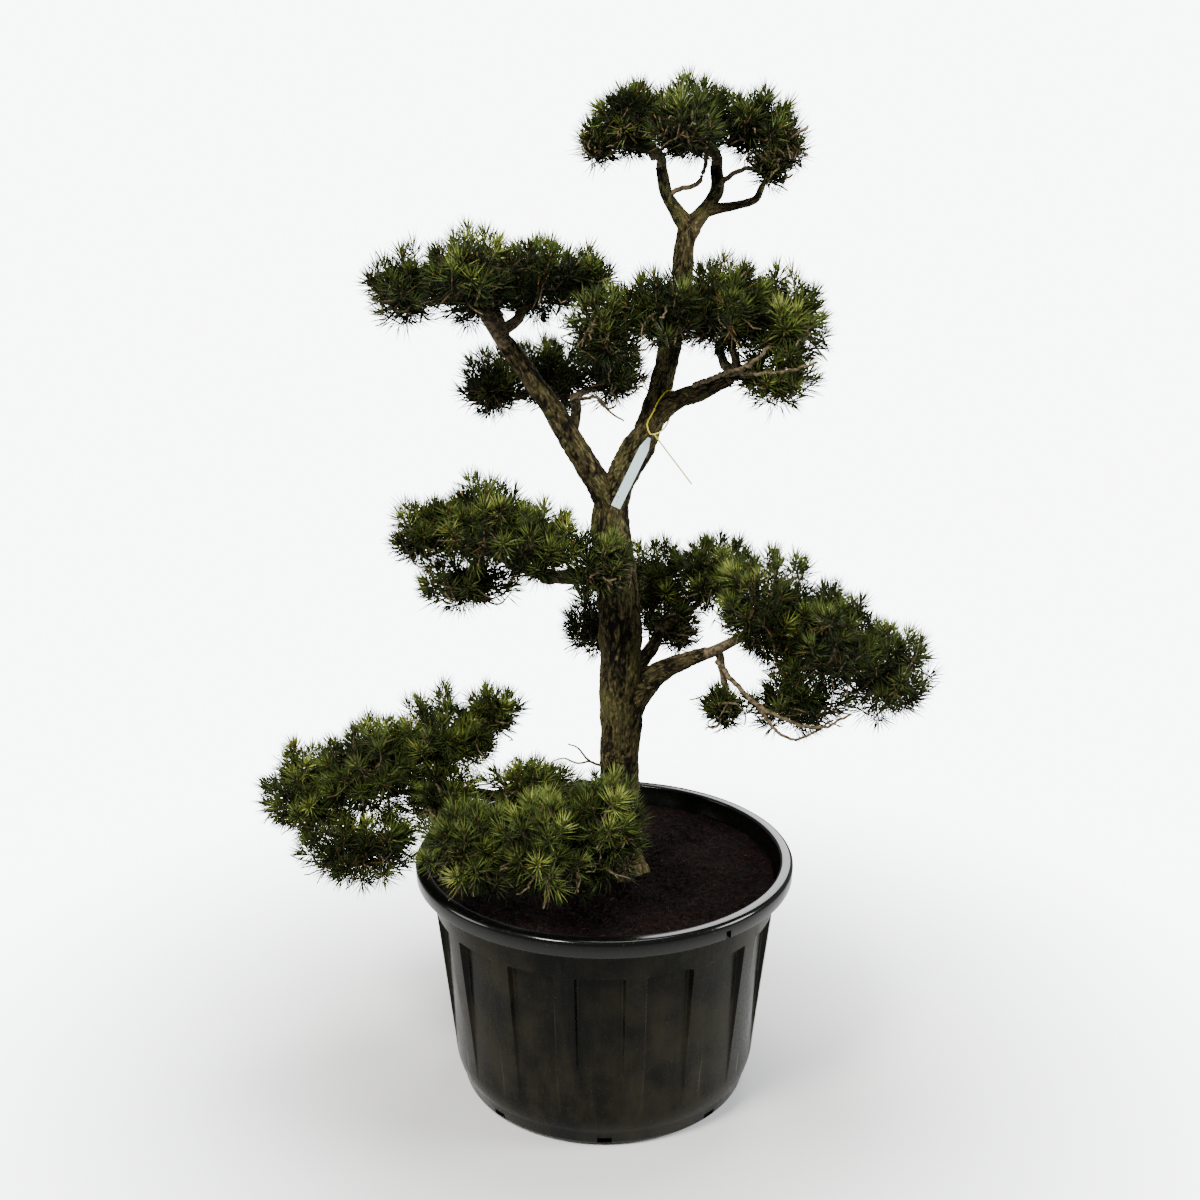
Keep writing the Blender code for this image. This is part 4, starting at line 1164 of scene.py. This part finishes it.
def shoots_of(lobes, rng):
    """Where a pad's needled shoots end, which way they point, the lobe of each and how deep it sits."""
    ends, headings, owners, depths = [], [], [], []
    layers = (
        (SHOOT_AREA, 1.0, CROWN_EDGE, OUTER_REACH),
        (UNDER_SHOOT_AREA, CROWN_EDGE, LOWEST_DIRECTION, UNDER_REACH),
        (INNER_SHOOT_AREA, 1.0, CROWN_EDGE, INNER_REACH),
    )
    for index, lobe in enumerate(lobes):
        centre, half = np.array(lobe[:3]), np.array(lobe[3:])
        hub = centre - np.array([0, 0, HUB_DROP * half[2]])
        for area, highest, lowest, reach in layers:
            count = int(lobe_area(half) * (highest - lowest) / 2 / area)
            rays = spiral(count, highest, lowest, index + reach[0]) + rng.normal(0, RAY_SCATTER, (count, 3))
            depth = rng.uniform(*reach, (count, 1))
            outline = centre + unit(rays) * half * depth
            outline = centre + (outline - centre) * ragged_reach(outline)
            keep = np.ones(count, bool)
            for other in lobes:
                if other is not lobe:
                    keep &= depth_in(outline, other) > HIDDEN_DEPTH
            scatter = rng.normal(0, HEADING_SCATTER, (count, 3))
            heading = unit(unit(outline - hub) + np.array([0, 0, UPTURN]) + scatter)
            ends.append((outline - heading * NEEDLE_OVERHANG)[keep])
            headings.append(heading[keep])
            owners.append(np.full(keep.sum(), index))
            depths.append(depth[keep, 0])
    return np.concatenate(ends), np.concatenate(headings), np.concatenate(owners), np.concatenate(depths)


def needles_on(ends, headings, lengths, phases, rng):
    """Needles in pairs round each shoot: their roots and tips by shoot, and how far up it each stands."""
    count = len(ends)
    j = np.arange(BUNDLES)
    share = ((j + 0.5) / BUNDLES) ** CROWDING
    first, second = across(headings)
    turn = phases[:, None] + GOLDEN_ANGLE * j + rng.normal(0, TURN_SCATTER, (count, BUNDLES))
    out = first[:, None] * np.cos(turn)[..., None] + second[:, None] * np.sin(turn)[..., None]
    lean = LEAN_AT_FOOT + (LEAN_AT_TIP - LEAN_AT_FOOT) * share**LEAN_CURVE
    lean = lean + rng.normal(0, LEAN_SCATTER, (count, BUNDLES))
    direction = headings[:, None] * np.cos(lean)[..., None] + out * np.sin(lean)[..., None]
    roots = ends[:, None] - headings[:, None] * (lengths[:, None] * (1 - share))[..., None]
    side = unit(np.cross(direction, headings[:, None]))
    reach = NEEDLE_LENGTH * rng.uniform(*NEEDLE_LENGTHS, (count, BUNDLES, 1))
    reach = reach * (1.0 - SHORTER_AT_TIP * share[:, None])
    pair = [roots + unit(direction + side * sign * SPLAY) * reach for sign in (-1.0, 1.0)]
    return np.repeat(roots, 2, 1), np.stack(pair, 2).reshape(count, 2 * BUNDLES, 3), np.repeat(share, 2)


def spikes(roots, tips, radius, waist, rng):
    """Three-sided needles, closed, widest at their waist and pointed at both ends."""
    first, second = across(unit(tips - roots))
    turn = rng.uniform(0, math.tau, len(roots))[:, None] + np.arange(3) * math.tau / 3
    ring = first[:, None] * np.cos(turn)[..., None] + second[:, None] * np.sin(turn)[..., None]
    middle = roots + (tips - roots) * waist
    points = np.concatenate([middle[:, None] + ring * radius, tips[:, None], roots[:, None]], 1)
    pattern = np.array([(0, 1, 3), (1, 2, 3), (2, 0, 3), (1, 0, 4), (2, 1, 4), (0, 2, 4)])
    faces = pattern[None] + 5 * np.arange(len(roots))[:, None, None]
    return points.reshape(-1, 3), faces.reshape(-1, 3)


def grow_stems(route, thick, lobes, rng):
    """The pad's stem from its bough's end, and the links from lobe to lobe: their tubes and the hubs."""
    heading = (route[-1] - route[-2]).normalized()
    elbow = route[-1] + heading * STEM_LEAD
    links, hubs = linked_hubs(elbow, lobes)
    stem, _ = smooth_route((route[-1] - heading * STEM_SINK, elbow, links[0][1]), 0.008)
    stem = np.array([tuple(place) for place in stem])
    wood = [tubes(stem[None], np.linspace(thick, thick * STEM_TAPER, len(stem))[None], 8)]
    for start, end, level in links[1:]:
        size = max(thick * STEM_TAPER ** (level + 0.5), LINK_RADII[0])
        bow = np.array([[rng.normal(0, 0.008), rng.normal(0, 0.008), -LINK_SAG]])
        line = bowed(np.array([tuple(start)]), np.array([tuple(end)]), bow, 9)
        line[:, 1:-1] += rng.normal(0, 0.0016, (1, 7, 3))
        wood.append(tubes(line, np.linspace(size, max(size * 0.6, LINK_RADII[1]), 9)[None], 6))
    return wood, hubs


def grow_twigs(index, lobe, hub, feet, ends, rng):
    """A lobe's branchlets from its hub, a twig to each of its shoots, and its bare twigs underneath."""
    centre, half = np.array(lobe[:3]), np.array(lobe[3:])
    hub = np.array(tuple(hub))
    rays = spiral(BRANCHLETS, 1.0, -0.5, index * 1.7) * np.array([1.0, 1.0, 0.75])
    forks = centre + rays * half * rng.uniform(*BRANCHLET_REACH, (BRANCHLETS, 1))
    bows = rng.normal(0, 0.006, (BRANCHLETS, 3)) + np.array([0, 0, -BRANCHLET_SAG])
    lines = bowed(np.repeat(hub[None], BRANCHLETS, 0), forks, bows, 7)
    lines[:, 1:-1] += rng.normal(0, 0.0014, (BRANCHLETS, 5, 3))
    sizes = np.linspace(*BRANCHLET_RADII, 7)[None] * rng.uniform(0.8, 1.2, (BRANCHLETS, 1))
    wood = [tubes(lines, sizes, 5)]
    if len(feet):
        nearest = np.linalg.norm(feet[:, None] - forks[None], axis=-1).argmin(1)
        starts = lines[nearest, rng.integers(3, 7, len(feet))]
        runs = bowed(starts, feet, rng.normal(0, 0.004, (len(feet), 3)), 5)
        shoots = np.concatenate([runs, (feet + ends)[:, None] / 2, ends[:, None]], 1)
        wood.append(tubes(shoots, np.repeat(np.array(TWIG_RADII)[None], len(feet), 0), 3))
    rays = spiral(BARE_TWIGS, 0.5, -0.5, index * 2.9)
    rays[:, 2] = -rng.uniform(0.05, 1.0, BARE_TWIGS)
    tips = centre + unit(rays) * half * rng.uniform(*BARE_TWIG_REACH, (BARE_TWIGS, 1))
    starts = lines[rng.integers(0, BRANCHLETS, BARE_TWIGS), rng.integers(1, 6, BARE_TWIGS)]
    bare = bowed(starts, tips, rng.normal(0, 0.010, (BARE_TWIGS, 3)), 8)
    bare[:, 1:] += np.cumsum(rng.normal(0, 0.0024, (BARE_TWIGS, 7, 3)), 1)
    bare = bare[free_of_tree(bare[:, -1], 0.003) & free_of_tree(bare[:, 4], 0.003)]
    wood.append(tubes(bare, np.repeat(np.linspace(*BARE_TWIG_RADII, 8)[None], len(bare), 0), 4))
    return wood


def needle_slots(name, lobes, ends, owners, depths, share, rng):
    """The tone of each needle, by shoot: painted light on top of and outside a lobe and painted shade inside
    and under it, lighter towards the shoot's tip where the needles are young, lighter all over in a few
    pads, and a few dry ones.
    """
    height = np.array([(end[2] - lobes[owner][2]) / lobes[owner][5] for end, owner in zip(ends, owners)])
    sunlit = SUN_AVERAGE + SUN_ON_TOP * height + (depths - 0.9) * SUN_OUTSIDE
    sunlit = (sunlit + rng.normal(0, SUN_SCATTER, len(ends))).clip(0, 1.5) + TUFT_TONES.get(name, 0.0)
    size = (len(ends), len(share))
    tone = sunlit[:, None] * TONES_PER_SUN + share[None] + rng.normal(0, TONE_SCATTER, size)
    dry = rng.uniform(0, 1, size) < DRY_SHARE * (1.0 - share[None])
    return np.where(dry, DRY, np.floor(tone).clip(0, LIGHTEST))


def grow_pad(name, lobes):
    """The pad's twigs and its needles, each as one piece that stands for its solid."""
    pad = "foliage_" + name
    rng = np.random.default_rng(random.Random(pad).randrange(2**31))
    route, radii = limb_lines["bough_" + name]
    wood, hubs = grow_stems(route, radii[-1], lobes, rng)
    ends, headings, owners, depths = shoots_of(lobes, rng)
    lengths = rng.uniform(*SHOOT_LENGTH, len(ends))
    ok = free_of_tree(ends, 0.010) & free_of_tree(ends - headings * lengths[:, None], 0.004)
    ends, headings, owners, lengths, depths = ends[ok], headings[ok], owners[ok], lengths[ok], depths[ok]
    feet = ends - headings * lengths[:, None]
    for index, (lobe, hub) in enumerate(zip(lobes, hubs)):
        mine = owners == index
        wood += grow_twigs(index, lobe, hub, feet[mine], ends[mine], rng)
    twig_points, twig_faces = joined(wood)
    bud_points, bud_faces = spikes(ends, ends + headings * BUD_LENGTH, BUD_RADIUS, BUD_WAIST, rng)
    slots = np.concatenate([np.zeros(len(twig_faces)), np.ones(len(bud_faces))])
    points, faces = joined([(twig_points, twig_faces), (bud_points, bud_faces)])
    twigs = piece_from_arrays(pad + "_twigs", points, faces, [twig_bark.material, bud_brown], slots, True)

    phases = rng.uniform(0, math.tau, len(ends))
    roots, tips, share = needles_on(ends, headings, lengths, phases, rng)
    slots = needle_slots(name, lobes, ends, owners, depths, share, rng).ravel()
    # Each needle's root half takes the next darker tone, as painted shade in the middle of each tuft.
    shaded = np.where(slots == DRY, DRY, (slots - 1).clip(0))
    roots, tips = roots.reshape(-1, 3), tips.reshape(-1, 3)
    ok = free_of_tree(tips, 0.001) & free_of_tree((roots + tips) / 2, 0.001)
    points, faces = spikes(roots[ok], tips[ok], NEEDLE_RADIUS, NEEDLE_WAIST, rng)
    slots = np.repeat(np.stack([slots, shaded], 1)[ok], 3)
    needles = piece_from_arrays(pad + "_needles", points, faces, needle_tones, slots)
    for piece in (twigs, needles):
        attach(piece, "root")
        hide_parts(pad)


for name, lobes in PADS.items():
    grow_pad(name, lobes)


# Plant label: a blank strip of thin plastic that hangs down the leader on a thin yellowish tie, which
# is looped round the root of a bough and knotted. Both keep the solids' shapes.
strip = Finish("label_plastic", 0.35)
place = strip.place()
smudges = strip.mottle(place, scale=60.0, low=0.45, high=0.75)
strip.colour(strip.mix(smudges, (0.76, 0.96, 0.97), (0.66, 0.86, 0.87)))
strip.roughness(strip.span(smudges, (0.0, 1.0), (0.30, 0.50)))
tie = Finish("tie_plastic", 0.40)
worn = tie.mottle(tie.place(), scale=120.0, low=0.45, high=0.70)
tie.colour(tie.mix(worn, (0.78, 0.68, 0.03), (0.52, 0.47, 0.05)))
for node, finish in (("label", strip), ("label_tie", tie)):
    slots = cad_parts[node].data.materials
    slots.clear()
    slots.append(finish.material)
